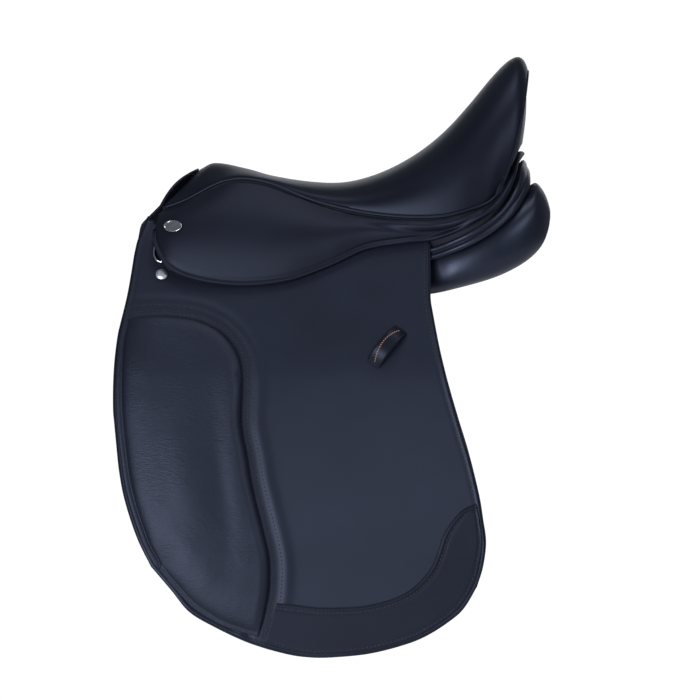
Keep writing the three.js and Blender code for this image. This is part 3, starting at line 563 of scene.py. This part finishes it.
# One navy leather in two brightnesses. The second, darker pair goes on the seat, its welts and facings, the
# keeper, the skirts and the grip patch. On the seat and skirts it is painted shade that keeps them darker than the
# flaps, knee pads and panels. On the grip patch it is partly painted shade and partly that patch's darker,
# smoother leather.
NAVY = ((0.0042, 0.0052, 0.0098), (0.0068, 0.0085, 0.0155))
DARK_LEATHER_AND_SHADE = ((0.003, 0.0036, 0.0065), (0.0048, 0.006, 0.0108))
MATERIALS = {
    "seat_leather": leather("seat_leather", *DARK_LEATHER_AND_SHADE, rough=(0.38, 0.5), depth=0.05, wrinkle=0.03, specular=0.27),
    "flap_leather": leather("flap_leather", *NAVY, rough=(0.42, 0.54), depth=0.08, wrinkle=0.02, specular=0.42),
    "pad_leather": leather("pad_leather", *NAVY, rough=(0.46, 0.58), pore=1100, depth=0.16, wrinkle=0.3,
                           specular=0.45),
    "skirt_leather": leather("skirt_leather", *DARK_LEATHER_AND_SHADE, rough=(0.44, 0.56), depth=0.07, wrinkle=0.02, specular=0.3),
    "patch_leather": leather("patch_leather", *DARK_LEATHER_AND_SHADE, rough=(0.4, 0.5), depth=0.05, specular=0.28),
    "panel_leather": leather("panel_leather", *NAVY, rough=(0.32, 0.44), depth=0.06, wrinkle=0.1, specular=0.45),
    "lining_leather": leather("lining_leather", (0.006, 0.006, 0.008), (0.011, 0.011, 0.014), rough=(0.6, 0.75),
                              depth=0.15, specular=0.3),
    "thread": fibre("thread", (0.001, 0.001, 0.002), (0.004, 0.004, 0.007), 2500, 0.3),
    "tan_thread": fibre("tan_thread", (0.36, 0.13, 0.07), (0.62, 0.3, 0.2), 2500, 0.3),
    "foam": fibre("foam", (0.3, 0.29, 0.25), (0.55, 0.53, 0.47), 900, 0.7),
    "wool": fibre("wool", (0.5, 0.47, 0.4), (0.85, 0.82, 0.74), 260, 1.0, (1, 1, 3)),
    "webbing": webbing("webbing", (0.25, 0.21, 0.14), (0.62, 0.56, 0.44)),
    "tree": beech("tree"),
    "steel": metal("steel", (0.42, 0.43, 0.45), (0.3, 0.5), 0.25),
    "nickel": metal("nickel", (0.75, 0.75, 0.76), (0.14, 0.26), 0.06),
    "dull_nickel": metal("dull_nickel", (0.66, 0.67, 0.7), (0.36, 0.5), 0.2),
}
SLOTS = {name: "leather" if name.endswith("leather") else name for name in MATERIALS}
SLOTS.update(pad_leather="soft_leather", lining_leather="lining", thread="leather", tan_thread="webbing",
             dull_nickel="nickel")


def repaint(node, material):
    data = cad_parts[node].data
    data.materials.clear()
    data.materials.append(MATERIALS[material])


for side in SIDES:
    for node in ("stirrup_bar", "bar_catch", "catch_pin", "bar_rivet_front", "bar_rivet_rear", "spring_steel"):
        repaint(f"{node}_{side}", "steel")
    repaint(f"seat_web_{side}", "webbing")
    repaint(f"panel_flocking_{side}", "wool")
for node in ("head_plate", "gullet_plate"):
    repaint(node, "steel")
repaint("tree", "tree")
repaint("seat_foam", "foam")


# ---- the seat ----
def seat_cover():
    """The padded seat, one cover from seam to seam."""
    u, v = grid(190, 131)
    v = 2 * v - 1
    base = on_seat(u, v)
    for _ in range(2):
        base[1:-1] = (base[:-2] + 2 * base[1:-1] + base[2:]) / 4
    made = piece("seat_cover_leather", shell(base, COVER, (0, 0, 1), ring=6), "seat_leather")
    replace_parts(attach(made, "saddle"), "seat_cover")


def seat_welt():
    """The thin welt that lies in the seam between seat and skirt."""
    u = np.linspace(0.01, 0.985, 260)
    for side, sign in SIDES.items():
        path = on_seat(u, np.ones_like(u))
        path[:, 1] += 0.6
        path[:, 2] -= 1.6
        made = piece(f"seat_welt_{side}", tube(path, 1.9), "seat_leather", sign)
        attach(made, "saddle")


def cantle_welt():
    """The rolled welt that binds the seat to its facing round the back of the cantle."""
    v = np.linspace(-0.97, 0.97, 240)
    path = on_seat(np.ones_like(v), v, 2.6)
    path[:, 0] -= 0.4
    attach(piece("cantle_welt", tube(path, 2.0), "seat_leather"), "saddle")


def pommel_facing():
    """The strip that binds the front of the seat, with a tail down each side."""
    lean = math.sqrt(0.5)
    stations = [(-1.35, -30), (-1.27, -22), (-1.18, -14), (-1.09, -7)]
    stations += [(-1 + k / 30, 0) for k in range(61)]
    stations += [(-v, drop) for v, drop in stations[3::-1]]
    v = np.array([s[0] for s in stations])
    drop = np.array([s[1] for s in stations], float)
    swell = 6 * np.sin(np.pi * np.cos(np.pi / 2 * np.clip(np.abs(v), 0, 1)))
    rows = []
    for depth, height in ((0, 3.2), (3, 4.6), (8, 5.6), (16, 6), (22, 6.2), (24, 6.2)):
        at = on_seat(np.zeros_like(v), np.clip(v, -1, 1), depth)
        height = height + swell
        x = at[:, 0] + drop * lean - depth * 0.15 - height * lean
        out = at[:, 1] + np.sign(v) * -drop * 0.25
        rows.append(np.stack([x, out, at[:, 2] + drop * lean + height * lean], -1))
    base = np.stack(rows, 1)
    made = piece("pommel_facing_leather", shell(base, 3.2, (-1, 0, 1), ring=6), "seat_leather")
    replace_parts(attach(made, "saddle"), "pommel_facing")


def gullet_lining():
    """The leather that turns in from the pommel facing and covers the tree's arch from below."""
    v = np.linspace(-0.97, 0.97, 90)
    lean = math.sqrt(0.5)
    front = on_seat(np.zeros_like(v), v, 22.0)
    front += np.stack([-3.3 - 3.5 * lean + 0 * v, 0 * v, 3.5 * lean + 0 * v], -1)
    rows = [front]
    for u, depth in ((0.0, 27), (0.02, 34), (0.06, 39), (0.12, 41), (0.2, 42)):
        rows.append(on_seat(np.full_like(v, u), v, float(depth)))
    base = np.stack(rows, 1)
    made = piece("gullet_lining_leather", shell(base, 1.0, (0, 0, -1)), "lining_leather")
    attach(made, "saddle")


def cantle_facing():
    """The leather behind the cantle."""
    low_x = through([[0, 222], [0.5, 217], [1, 198]])
    low_z = through([[0, 172], [0.5, 164], [1, 124]])
    s, t = grid(81, 30)
    v = 1.9 * s - 0.95
    rim = on_seat(np.ones_like(v), v, 4.0)
    rim[..., 0] -= 3
    belly = 3 * np.sin(np.pi * t) * (1 - v * v)
    base = np.stack([rim[..., 0] + (low_x(np.abs(v)) - rim[..., 0]) * t + belly, rim[..., 1] * (1 - 0.04 * t),
                     rim[..., 2] + (low_z(np.abs(v)) - rim[..., 2]) * t], -1)
    made = piece("cantle_facing_leather", shell(base, 4, (1, 0, 0)), "seat_leather")
    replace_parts(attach(made, "saddle"), "cantle_facing")


# ---- the skirts ----
def skirt(side, sign):
    """The skirt, with its rolled lower edge and the soft ridges it has where it narrows."""
    u, v = grid(240, 46)
    fall = np.sin(np.pi / 2 * v)
    down = fall * 0.35 + v * 0.65
    base = tuck(on_skirt(u, down))
    lower = np.linalg.norm(on_skirt(u, down) - on_skirt(u, np.ones_like(u)), axis=-1)
    piping = 2.0 * bell(lower, 2.8, 2.2) - 1.2 * bell(lower, 7.2, 1.7)
    strip = smoothstep(u, 0.42, 0.6)
    upper = np.linalg.norm(on_skirt(u, down) - on_skirt(u, np.zeros_like(u)), axis=-1)
    ridge = strip * (3.0 * bell(upper, 7, 4) - 2.0 * bell(upper, 14.5, 3))
    lift = piping + ridge
    made = piece(f"skirt_leather_{side}", shell(base, SKIRT, OUTWARD, lift, ring=6), "skirt_leather", sign)
    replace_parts(made, f"skirt_{side}", f"skirt_lobe_{side}")
    over_fold(made, SKIRT_FOLD, sign)


def seam_lining(side, sign):
    """The leather that closes the saddle behind the skirt, from the seat's seam down to the panel's welts."""
    u = np.linspace(0.0, 1.0, 200)
    station = np.arange(16) / 15
    seat_u = np.interp(u, station, [0, 0.05, 0.108, 0.168, 0.25, 0.332, 0.435, 0.535, 0.653, 0.745, 0.85, 0.96,
                                    1, 1, 1, 1])
    seat_v = np.interp(u, station, [1] * 12 + [0.8, 0.45, 0.2, 0.0])
    seam = on_seat(seat_u, seat_v)
    seam[:, 1] -= 1.0 * np.minimum(1, seam[:, 1] / 20)
    seam[:, 2] += 0.6
    seam[:, 0] -= 6 * smoothstep(u, 0.75, 0.85)
    skirt_top = on_skirt(u, np.full_like(u, 0.04), -SKIRT - 1.6 + 0 * u)
    skirt_low = on_skirt(u, np.where(u < 0.55, 0.3, 0.75), -SKIRT - 1.6 + 0 * u)
    band_u = np.clip((u * 15 - 8.4) / 6.6, 0, 1)
    welt = on_band(band_u, np.full_like(u, 0.3), -5.5 + 0 * u)
    tail = smoothstep(u, 0.53, 0.6)[:, None]
    low = skirt_low * (1 - tail) + welt * tail
    upper = [seam, (seam + skirt_top) / 2, skirt_top, (skirt_top + skirt_low) / 2, skirt_low]
    base = np.stack(upper + [skirt_low + (low - skirt_low) * t for t in (0.34, 0.67, 1.0)], 1)
    base[:, 5:] += np.array([0, -1, 0]) * np.array([0.3, 0.6, 1.0])[None, :, None] * (1 - tail[:, None]) * 3
    base = tuck(base)
    made = piece(f"seam_lining_{side}", shell(base, 0.8, OUTWARD, ring=2), "lining_leather", sign)
    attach(made, "saddle")


def over_fold(obj, fold, sign):
    """Bakes a piece's placement into its mesh. It works out where the fold lies on the flap but does not bend the
    piece.
    """
    x, z, reach = fold["x"], fold["z"], fold["reach"]
    y = sign * float(flap_out(x, z)) / 1000
    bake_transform(obj)


# ---- the flaps ----
def flap_lift(xz):
    """How far the flap's outer face stands above plain leather: its rolled edge and the band round the pad."""
    curve = np.vstack([line(PAD_TOP)(np.linspace(0, 1, 120)), line(PAD_REAR)(np.linspace(0, 1, 240))])
    away, which = nearest(xz, curve)
    fade = smoothstep(which, 0, 18) * (1 - smoothstep(xz[..., 1], -395, -402))
    band = 1.2 * bell(away, 20, 6.5) - 0.35 * bell(away, 11, 4) + 0.5 * bell(away, 3.2, 1.6)
    rim = np.min([away_from(xz, line(edge)) for edge in (FLAP_REAR, FLAP_FRONT, FLAP_BOTTOM)], axis=0)
    return band * fade + 0.5 * bell(rim, 3, 2.2) - 0.45 * bell(rim, 6.8, 1.4)


def flap(side, sign):
    """The flap and its head in one sheet, folded below the skirt."""
    u, v = grid(176, 200)
    xz = flap_outline(u, v)
    base = on_flap(xz, FLAP)
    made = piece(f"flap_leather_{side}", shell(base, FLAP - 0.2, OUTWARD, flap_lift(xz), ring=6),
                 "flap_leather", sign)
    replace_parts(made, f"flap_head_{side}", f"flap_{side}")
    over_fold(made, FLAP_FOLD, sign)


def sideways(p):
    """Unit vectors square to a path of (x, z) points."""
    tangent = np.gradient(p, axis=0)
    n = np.stack([-tangent[:, 1], tangent[:, 0]], -1)
    return n / np.linalg.norm(n, axis=1, keepdims=True)


def inside(curve, distance, toward, start=0.0, end=1.0, steps=260):
    """Points a distance inside a curve, on the side of toward."""
    t = np.linspace(start, end, steps)
    p = curve(t)
    n = sideways(p)
    n *= np.sign(((np.array(toward, float) - p) * n).sum())
    return p + n * distance


def flap_normals(xz):
    """The way out of the flap at each point, 10 mm long."""
    return on_flap(xz, FLAP + 10) - on_flap(xz, FLAP)


def stitched(xz):
    """Stitches on the flap along a path of (x, z) points."""
    return stitches(on_flap(xz, FLAP + flap_lift(xz)), flap_normals(xz) / 10)


def flap_stitches(side, sign):
    """The seams round the flap and the two beside the knee pad."""
    middle = (-40, -200)
    rear = inside(line(FLAP_REAR), SEAM_INSET, middle, 0.0, 0.985)
    head = rear[rear[:, 1] > 14]
    fold = rear[(rear[:, 1] <= 15) & (rear[:, 1] > -18)]
    low = rear[rear[:, 1] <= -17]
    crossing = piece(f"flap_fold_stitches_{side}", merged(stitched(head), stitched(fold)), "thread", sign)
    over_fold(crossing, FLAP_FOLD, sign)
    pad_line = np.vstack([line(PAD_TOP)(np.linspace(0.02, 1, 160)), line(PAD_REAR)(np.linspace(0.01, 0.985, 240))])
    rows = [stitched(low), stitched(inside(line(FLAP_BOTTOM), SEAM_INSET, middle, 0.02, 0.99))]
    for distance in (7.5, 14.5):
        rows.append(stitched(pad_line + sideways(pad_line) * distance))
    rows.append(stitched(inside(line(FLAP_FRONT), SEAM_INSET, middle, 0.32, 0.99)))
    made = piece(f"flap_stitches_{side}", merged(*rows), "thread", sign)
    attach(made, f"flap_{side}")


def knee_pad(side, sign):
    """A stuffed pad: a rolled edge that dives into the groove behind it, a long ridge and a hollow beside it."""
    u, v = grid(110, 190)
    xz = pad_outline(u, v)
    borders = {"rear": PAD_REAR, "top": PAD_TOP, "front": PAD_FRONT, "bottom": PAD_BOTTOM}
    away = {k: away_from(xz, line(p)) for k, p in borders.items()}

    def roll(d, reach):
        return np.sqrt(np.clip(1 - (1 - np.clip(d / reach, 0, 1)) ** 2, 0, 1))

    flange = 1.2 + 1.6 * smoothstep(away["front"], 5.5, 9)
    rise = roll(np.maximum(away["front"] - 7.5, 0), 34) * roll(away["rear"], 12) * roll(away["top"], 18)
    rise *= roll(np.maximum(away["bottom"] - 6, 0), 42)
    ridge = 4.4 * bell(u, 0.4 + 0.08 * v, 0.19) * bell(v, 0.52, 0.28)
    hollow = 1.2 * bell(u, 0.68 + 0.04 * v, 0.09) * bell(v, 0.5, 0.25)
    second = 0.8 * bell(u, 0.8, 0.08) * bell(v, 0.5, 0.3)
    crown = 10.0 + ridge - hollow + second - 2.0 * (1 - smoothstep(v, 0.0, 0.22))
    height = 0.8 + (flange - 0.6) * roll(away["front"], 3) + crown * rise
    height -= 0.9 * bell(away["front"], 6.5, 1.3) * smoothstep(away["top"], 4, 12)
    base = on_flap(xz, FLAP + GAP + 1.2)
    made = piece(f"knee_pad_leather_{side}", shell(base, 1.2, OUTWARD, height, ring=4), "pad_leather", sign)
    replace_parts(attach(made, f"flap_{side}"), f"knee_pad_{side}")


def grip_patch(side, sign):
    """The lower patch, stitched over the flap."""
    u, v = grid(200, 24)
    top, bottom = line(PATCH_TOP), line(PATCH_BOTTOM)
    t = 0.985 * u
    xz = top(t) + (bottom(t) - top(t)) * v[..., None]
    top_away, low_away = away_from(xz, top, 400), away_from(xz, bottom, 400)
    lift = 0.9 * bell(top_away, 2.6, 1.8) - 0.5 * bell(top_away, 6.2, 1.3) - 0.4 * bell(low_away, 3.2, 1.2)
    base = on_flap(xz, FLAP + GAP + PATCH)
    made = piece(f"grip_patch_leather_{side}", shell(base, PATCH, OUTWARD, lift), "patch_leather", sign)
    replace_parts(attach(made, f"flap_{side}"), f"grip_patch_{side}")
    middle = (40, -300)
    rows = []
    for curve, distance, toward in ((top, 6.2, (60, -500)), (bottom, 3.2, middle)):
        p = inside(curve, distance, toward, 0.03, 0.955)
        rows.append(stitches(on_flap(p, FLAP + GAP + 1.35), flap_normals(p) / 10))
    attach(piece(f"grip_patch_stitches_{side}", merged(*rows), "thread", sign), f"flap_{side}")


def local_frame(x, z, degrees, lift):
    """An origin on the flap and the directions along, across and out of a piece laid there at an angle."""
    at = on_flap(np.array([x, z], float), lift)
    out = on_flap(np.array([x, z], float), lift + 10) - at
    out /= np.linalg.norm(out)
    angle = math.radians(degrees)
    along = np.array([math.cos(angle), 0, math.sin(angle)])
    along -= out * (along @ out)
    along /= np.linalg.norm(along)
    return at, along, np.cross(along, out), out


def keeper(side, sign):
    """The low loop of leather that holds the loose end of the stirrup leather."""
    at, along, across, out = local_frame(KEEPER["x"], KEEPER["z"], KEEPER["angle"], FLAP + GAP)
    length, width = KEEPER["half_length"], KEEPER["half_width"]

    def arch(s):
        return np.maximum(KEEPER["rise"] * (1 - np.abs(s) ** 2.6), 1.6)

    s, w = grid(61, 22)
    s, w = 2 * s - 1, 2 * w - 1
    ends = along * (length * (1 - 0.02 * w**2) * s)[..., None]
    base = at + ends + across * (width * w * (1 - 0.06 * s**8))[..., None] + out * arch(s)[..., None]
    dip = -0.4 * bell(w, -0.72, 0.1)
    made = piece(f"keeper_leather_{side}", shell(base, KEEPER["wall"], out, dip, ring=8), "seat_leather", sign)
    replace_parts(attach(made, f"flap_{side}"), f"keeper_{side}")
    t = np.linspace(-0.9, 0.86, 60)
    path = at + along * (length * t)[:, None] + across * (width * (0.52 - 0.72 * t**2))[:, None]
    path = path + out * (arch(t) + 0.05)[:, None]
    seam = piece(f"keeper_stitches_{side}", stitches(path, out, pitch=2.9, length=2.2, radius=0.55), "tan_thread",
                 sign)
    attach(seam, f"flap_{side}")


# ---- behind the flaps ----
def sweat_flap(side, sign):
    """The thin flap next to the horse."""
    u, v = grid(90, 100)
    low = patch(line([[-237, -4], [115.5, -4]]), line(FLAP_BOTTOM),
                line([[-237, -4], [-243.7, -35.8], [-250.3, -77.4], [-251.8, -118], [-248.3, -174.4],
                      [-240, -229.8], [-221.8, -285.3], FRONT_LOW]),
                line([[115.5, -4], [117.8, -22], [125.9, -63.5], [147.8, -146.7], [171, -229.8], [179, -285.3],
                      [175.6, -313], REAR_LOW]))(u, v)
    xz = np.stack([-40 + (low[..., 0] + 40) * 0.86, 12 + (low[..., 1] - 8) * 0.92], -1)
    edge, _ = nearest(xz, np.vstack([xz[0], xz[:, -1], xz[-1], xz[:, 0]]))
    base = on_flap(xz, -13.0)
    made = piece(f"sweat_flap_leather_{side}", shell(base, 3, OUTWARD, -0.4 * bell(edge, 5, 1.2)),
                 "lining_leather", sign)
    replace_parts(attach(made, "saddle"), f"sweat_flap_{side}")


def billet(name, centre, side, sign):
    """A girth strap with its row of holes."""
    s, t = grid(9, 150)
    tip = np.maximum(0, (t - 0.955) / 0.045)
    half = BILLET["half"] * np.sqrt(np.clip(1 - 0.75 * tip**2, 0.2, 1))
    xz = np.stack([centre + (2 * s - 1) * half, BILLET["top"] - BILLET["length"] * t], -1)
    base = on_flap(xz, BILLET["lift"])
    made = piece(f"{name}_leather_{side}", shell(base, 3, OUTWARD), "flap_leather", sign)
    for k in range(BILLET["holes"]):
        z = BILLET["first_hole"] + BILLET["pitch"] * k
        bpy.ops.mesh.primitive_cylinder_add(vertices=20, radius=BILLET["hole"] / 1000, depth=0.03, location=(
            centre / 1000, sign * float(flap_out(centre, z) - 6) / 1000, z / 1000), rotation=(math.pi / 2, 0, 0))
        cutter = bpy.context.object
        cut = made.modifiers.new("hole", "BOOLEAN")
        cut.object = cutter
        bake(made)
        bpy.data.objects.remove(cutter)
    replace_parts(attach(made, f"{name}_{side}"), f"{name}_{side}")
    rows = []
    for edge in (-BILLET["seam"], BILLET["seam"]):
        z = np.linspace(34, -300, 160)
        p = np.stack([np.full_like(z, centre + edge), z], -1)
        rows.append(stitches(on_flap(p, BILLET["lift"]), flap_normals(p) / 10, pitch=5, length=3.4))
    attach(piece(f"{name}_stitches_{side}", merged(*rows), "thread", sign), f"{name}_{side}")


def billet_web(side, sign):
    """The web that the billets are sewn to."""
    s, t = grid(40, 30)
    x = -46 + 96 * s
    low = np.stack([x, flap_out(x, 24 + 0 * x) - 9.7, 24 + 0 * x], -1)
    top = np.stack([x, 62 + 0 * x, 73 + 0 * x], -1)
    made = piece(f"billet_web_woven_{side}", shell(top + (low - top) * t[..., None], 1.6, (0, 1, 0.5)), "webbing",
                 sign)
    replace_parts(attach(made, "saddle"), f"billet_web_{side}")


PANEL = {
    "low": through([[-196, -12], [-190, -22], [-170, -32], [-150, -34], [-100, -24], [0, -8], [60, -4], [115, 0],
                    [140, 5.8], [185, 19.6], [214, 33.5], [233, 47.4], [244, 61], [250, 77], [252, 90]]),
    "high": through([[-196, 10], [-190, 26], [-170, 42], [-150, 48], [-100, 54], [0, 58], [60, 60], [115, 70],
                     [150, 80], [185, 98], [205, 110], [218, 118], [228, 124], [236, 128], [245, 117], [250, 104],
                     [252, 95]]),
    "inner": through([[-196, 62], [-185, 52], [-150, 48], [-100, 34], [0, 30], [200, 30], [233, 33], [244, 42],
                      [250, 54], [252, 60]]),
    "outer": through([[-196, 78], [-185, 86], [-150, 92], [-100, 92], [0, 98], [90, 106], [118, 114], [140, 124],
                      [185, 126], [214, 118], [233, 106], [244, 92], [250, 76], [252, 66]]),
    "slant": through([[-196, 0.3], [100, 0.25], [200, 0.22], [236, 0.25], [252, 0.3]]),
}


def panel(side, sign):
    """The stuffed panel, as rings of points from its front to its rounded back."""
    run = np.linspace(0, 1, 130)
    x = -195.9 + 447.6 * (0.5 - 0.5 * np.cos(np.pi * run)) ** 0.9
    turn = np.linspace(0, 2 * np.pi, 60, endpoint=False)
    c, s = np.cos(turn), np.sin(turn)
    across = np.sign(c) * np.abs(c) ** 0.8
    up = np.sign(s) * np.abs(s) ** 0.8
    rows = []
    for at in x:
        low, high, inner, outer, slant = (float(PANEL[k](at)) for k in ("low", "high", "inner", "outer", "slant"))
        reach = ((1 - slant) ** (5 / 3) + slant ** (5 / 3)) ** 0.6
        height = (up * (1 - slant) - slant * across) / reach
        rows.append(np.stack([np.full_like(c, at), (inner + outer) / 2 + (outer - inner) / 2 * across,
                              (low + high) / 2 + (high - low) / 2 * height], -1))
    body = np.stack(rows)
    for _ in range(2):
        body[1:-1] = (body[:-2] + 2 * body[1:-1] + body[2:]) / 4
        body = (np.roll(body, 1, 1) + 2 * body + np.roll(body, -1, 1)) / 4
    rear = smoothstep(body[..., 0], 80, 240)
    body[..., 0] += 2.5 * rear
    body[..., 2] -= 2.2 * rear * (1 - smoothstep(body[..., 2], 30, 100))
    made = piece(f"panel_leather_{side}", rings(body, [body[0].mean(0), body[-1].mean(0)]), "panel_leather", sign)
    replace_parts(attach(made, "saddle"), f"panel_cover_{side}")


def panel_band(side, sign):
    """Two rounded welts that join the panel to the back of the saddle."""
    u, v = grid(150, 30)
    fade = smoothstep(u, -0.1, 0.15) * (1 - 0.7 * smoothstep(u, 0.6, 1))
    lift = 3.9 * np.abs(np.sin(2 * np.pi * v)) ** 0.75 * fade
    base = tuck(on_band(u, v))
    made = piece(f"panel_band_leather_{side}", shell(base, 4, (0.3, 1, 0), lift), "panel_leather", sign)
    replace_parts(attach(made, "saddle"), f"panel_band_{side}")


# ---- fittings ----
def dee(side, sign):
    """The dee ring and the leather chape that holds its bar."""
    at, along, across, out = local_frame(RING["x"], RING["z"], RING["angle"], RING["lift"])
    down = across if across[2] < 0 else -across
    half = RING["half"]
    turn = np.linspace(0, np.pi, 60)
    bow = at + along * (-half * np.cos(turn))[:, None] + down * (RING["depth"] * np.sin(turn) ** 0.8)[:, None]
    bow -= out * (2.1 * np.sin(turn))[:, None]
    bar = at + along * np.linspace(-half, half, 12)[:, None]
    wire = merged(tube(bow, RING["wire"], 14), tube(bar, RING["wire"], 14))
    made = piece(f"dee_wire_{side}", wire, "nickel", sign)
    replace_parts(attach(made, f"dee_ring_{side}"), f"dee_ring_{side}")
    s, t = grid(16, 40)
    wrap = np.pi * np.clip((t - 0.75) / 0.25, 0, 1)
    rise = 30 * (1 - np.clip(t / 0.75, 0, 1))
    base = (at + along * (16 * s - 8)[..., None] - down * (rise - 3.0 * np.sin(wrap))[..., None]
            + out * (3.0 * np.cos(wrap))[..., None])
    strap = piece(f"dee_chape_leather_{side}", shell(base, 1.2, out), "flap_leather", sign)
    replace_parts(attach(strap, "saddle"), f"dee_chape_{side}")


def lathe(profile, at, along, across, out, sides=40):
    """A turned solid from (radius, height) pairs; unequal along and across make it oval."""
    rows = [circle(at + out * h, r, along, across, sides) for r, h in profile]
    return rings(rows, [at + out * profile[0][1], at + out * profile[-1][1]])


def stud(side, sign):
    """The domed saddle nail under the dee ring."""
    at, along, across, out = local_frame(*STUD, 0, FLAP + 2 * GAP)
    profile = [(1.5, -3.8), (1.5, 0), (6.2, 0), (7, 0.4), (7, 1.3), (6.7, 1.9), (5.9, 2.3), (5.5, 2.35),
               (5.3, 2.6), (4.2, 3.0), (2.4, 3.25), (0.8, 3.3)]
    made = piece(f"saddle_nail_{side}", lathe(profile, at, along, across, out), "dull_nickel", sign)
    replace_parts(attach(made, "saddle"), f"stud_{side}")


def badge(side, sign):
    """A plain oval plate with a raised rim."""
    u, v = (np.array([k]) for k in BADGE_AT)
    at = on_skirt(u, v)[0]
    along = (on_skirt(u + 0.004, v) - on_skirt(u - 0.004, v))[0]
    along[2] *= 0.4
    down = (on_skirt(u, v + 0.01) - on_skirt(u, v - 0.01))[0]
    out = np.cross(along, down)
    out *= np.sign(out[1]) / np.linalg.norm(out)
    along -= out * (along @ out)
    along /= np.linalg.norm(along)
    across = np.cross(along, out)
    profile = [(0.9, 0.4), (0.985, 0.55), (1.0, 0.9), (0.985, 1.3), (0.94, 1.55), (0.88, 1.5), (0.84, 1.2),
               (0.8, 1.05), (0.4, 1.3), (0.05, 1.4)]
    made = piece(f"badge_plate_{side}", lathe(profile, at, along * 12.5, across * 7.5, out, 64), "nickel", sign)
    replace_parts(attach(made, "saddle"), f"badge_{side}")


seat_cover()
seat_welt()
cantle_welt()
pommel_facing()
gullet_lining()
cantle_facing()
for side, sign in SIDES.items():
    skirt(side, sign)
    seam_lining(side, sign)
    flap(side, sign)
    flap_stitches(side, sign)
    knee_pad(side, sign)
    grip_patch(side, sign)
    keeper(side, sign)
    sweat_flap(side, sign)
    billet("billet_front", -34, side, sign)
    billet("billet_rear", 30, side, sign)
    billet_web(side, sign)
    panel(side, sign)
    panel_band(side, sign)
    dee(side, sign)
    stud(side, sign)
    badge(side, sign)


# ---- floor, light and camera ----
FLOOR_Z = -0.75
FLOOR_RADIUS = 3.2
FIELD = 0.8085  # how much of the world the camera takes in, in metres across
AIM = (0.0219, -0.17, -0.0635)
ELEVATION = math.radians(1.0)


def floor():
    material, link, shader, add = node_material("floor_paint")
    speckle = add("ShaderNodeTexNoise", Scale=40.0, Detail=3.0, Vector=placed(add))
    link(ramp(add, link, speckle.outputs["Fac"], (0.8, 0.8, 0.8), (0.84, 0.84, 0.84)),
                   shader.inputs["Base Color"])
    values(shader, Roughness=0.9, Emission_Color=(1, 1, 1, 1), Emission_Strength=0.25)
    bpy.ops.mesh.primitive_circle_add(vertices=96, radius=FLOOR_RADIUS, fill_type="NGON", location=(0, 0, FLOOR_Z))
    disc = bpy.context.object
    disc.name = "floor"
    disc.data.materials.append(material)


def softbox(name, place, aim, size, power):
    data = bpy.data.lights.new(name, "AREA")
    data.shape = "RECTANGLE"
    data.size, data.size_y = size
    data.energy = power
    data.color = (0.88, 0.93, 1)
    obj = bpy.data.objects.new(name, data)
    obj.location = place
    obj.rotation_euler = (Vector(aim) - Vector(place)).to_track_quat("-Z", "Y").to_euler()
    bpy.context.scene.collection.objects.link(obj)


def studio():
    world = bpy.data.worlds.new("studio")
    world.use_nodes = True
    nodes, links = world.node_tree.nodes, world.node_tree.links
    seen = nodes["Background"]
    values(seen, Color=(1, 1, 1, 1), Strength=1.05)
    ambient = nodes.new("ShaderNodeBackground")
    values(ambient, Color=(0.8, 0.88, 1, 1), Strength=0.16)
    mix = nodes.new("ShaderNodeMixShader")
    ray = nodes.new("ShaderNodeLightPath")
    links.new(ray.outputs["Is Camera Ray"], mix.inputs["Fac"])
    links.new(ambient.outputs["Background"], mix.inputs[1])
    links.new(seen.outputs["Background"], mix.inputs[2])
    links.new(mix.outputs["Shader"], nodes["World Output"].inputs["Surface"])
    bpy.context.scene.world = world
    bpy.context.scene.view_settings.view_transform = "Standard"
    softbox("front_box", (-1.7, -3.4, -0.05), (0, -0.15, -0.12), (2.0, 1.2), 112)
    softbox("rear_box", (2.2, -2.3, 1.6), (0.15, -0.1, 0.1), (1.4, 1.4), 34)
    softbox("top_box", (0.2, -0.6, 2.6), (0, 0, 0), (1.6, 1.2), 20)
    softbox("far_box", (0.4, 3.4, 0.7), (0, 0, 0), (2.2, 1.5), 14)


def camera():
    data = bpy.data.cameras.new("camera")
    data.lens = 1200
    data.sensor_width = 36
    data.clip_end = 60
    obj = bpy.data.objects.new("camera", data)
    aim = Vector(AIM)
    distance = FIELD * data.lens / data.sensor_width
    obj.location = aim + distance * Vector((0, -math.cos(ELEVATION), math.sin(ELEVATION)))
    obj.rotation_euler = (aim - obj.location).to_track_quat("-Z", "Y").to_euler()
    bpy.context.scene.collection.objects.link(obj)
    bpy.context.scene.camera = obj


floor()
studio()
camera()
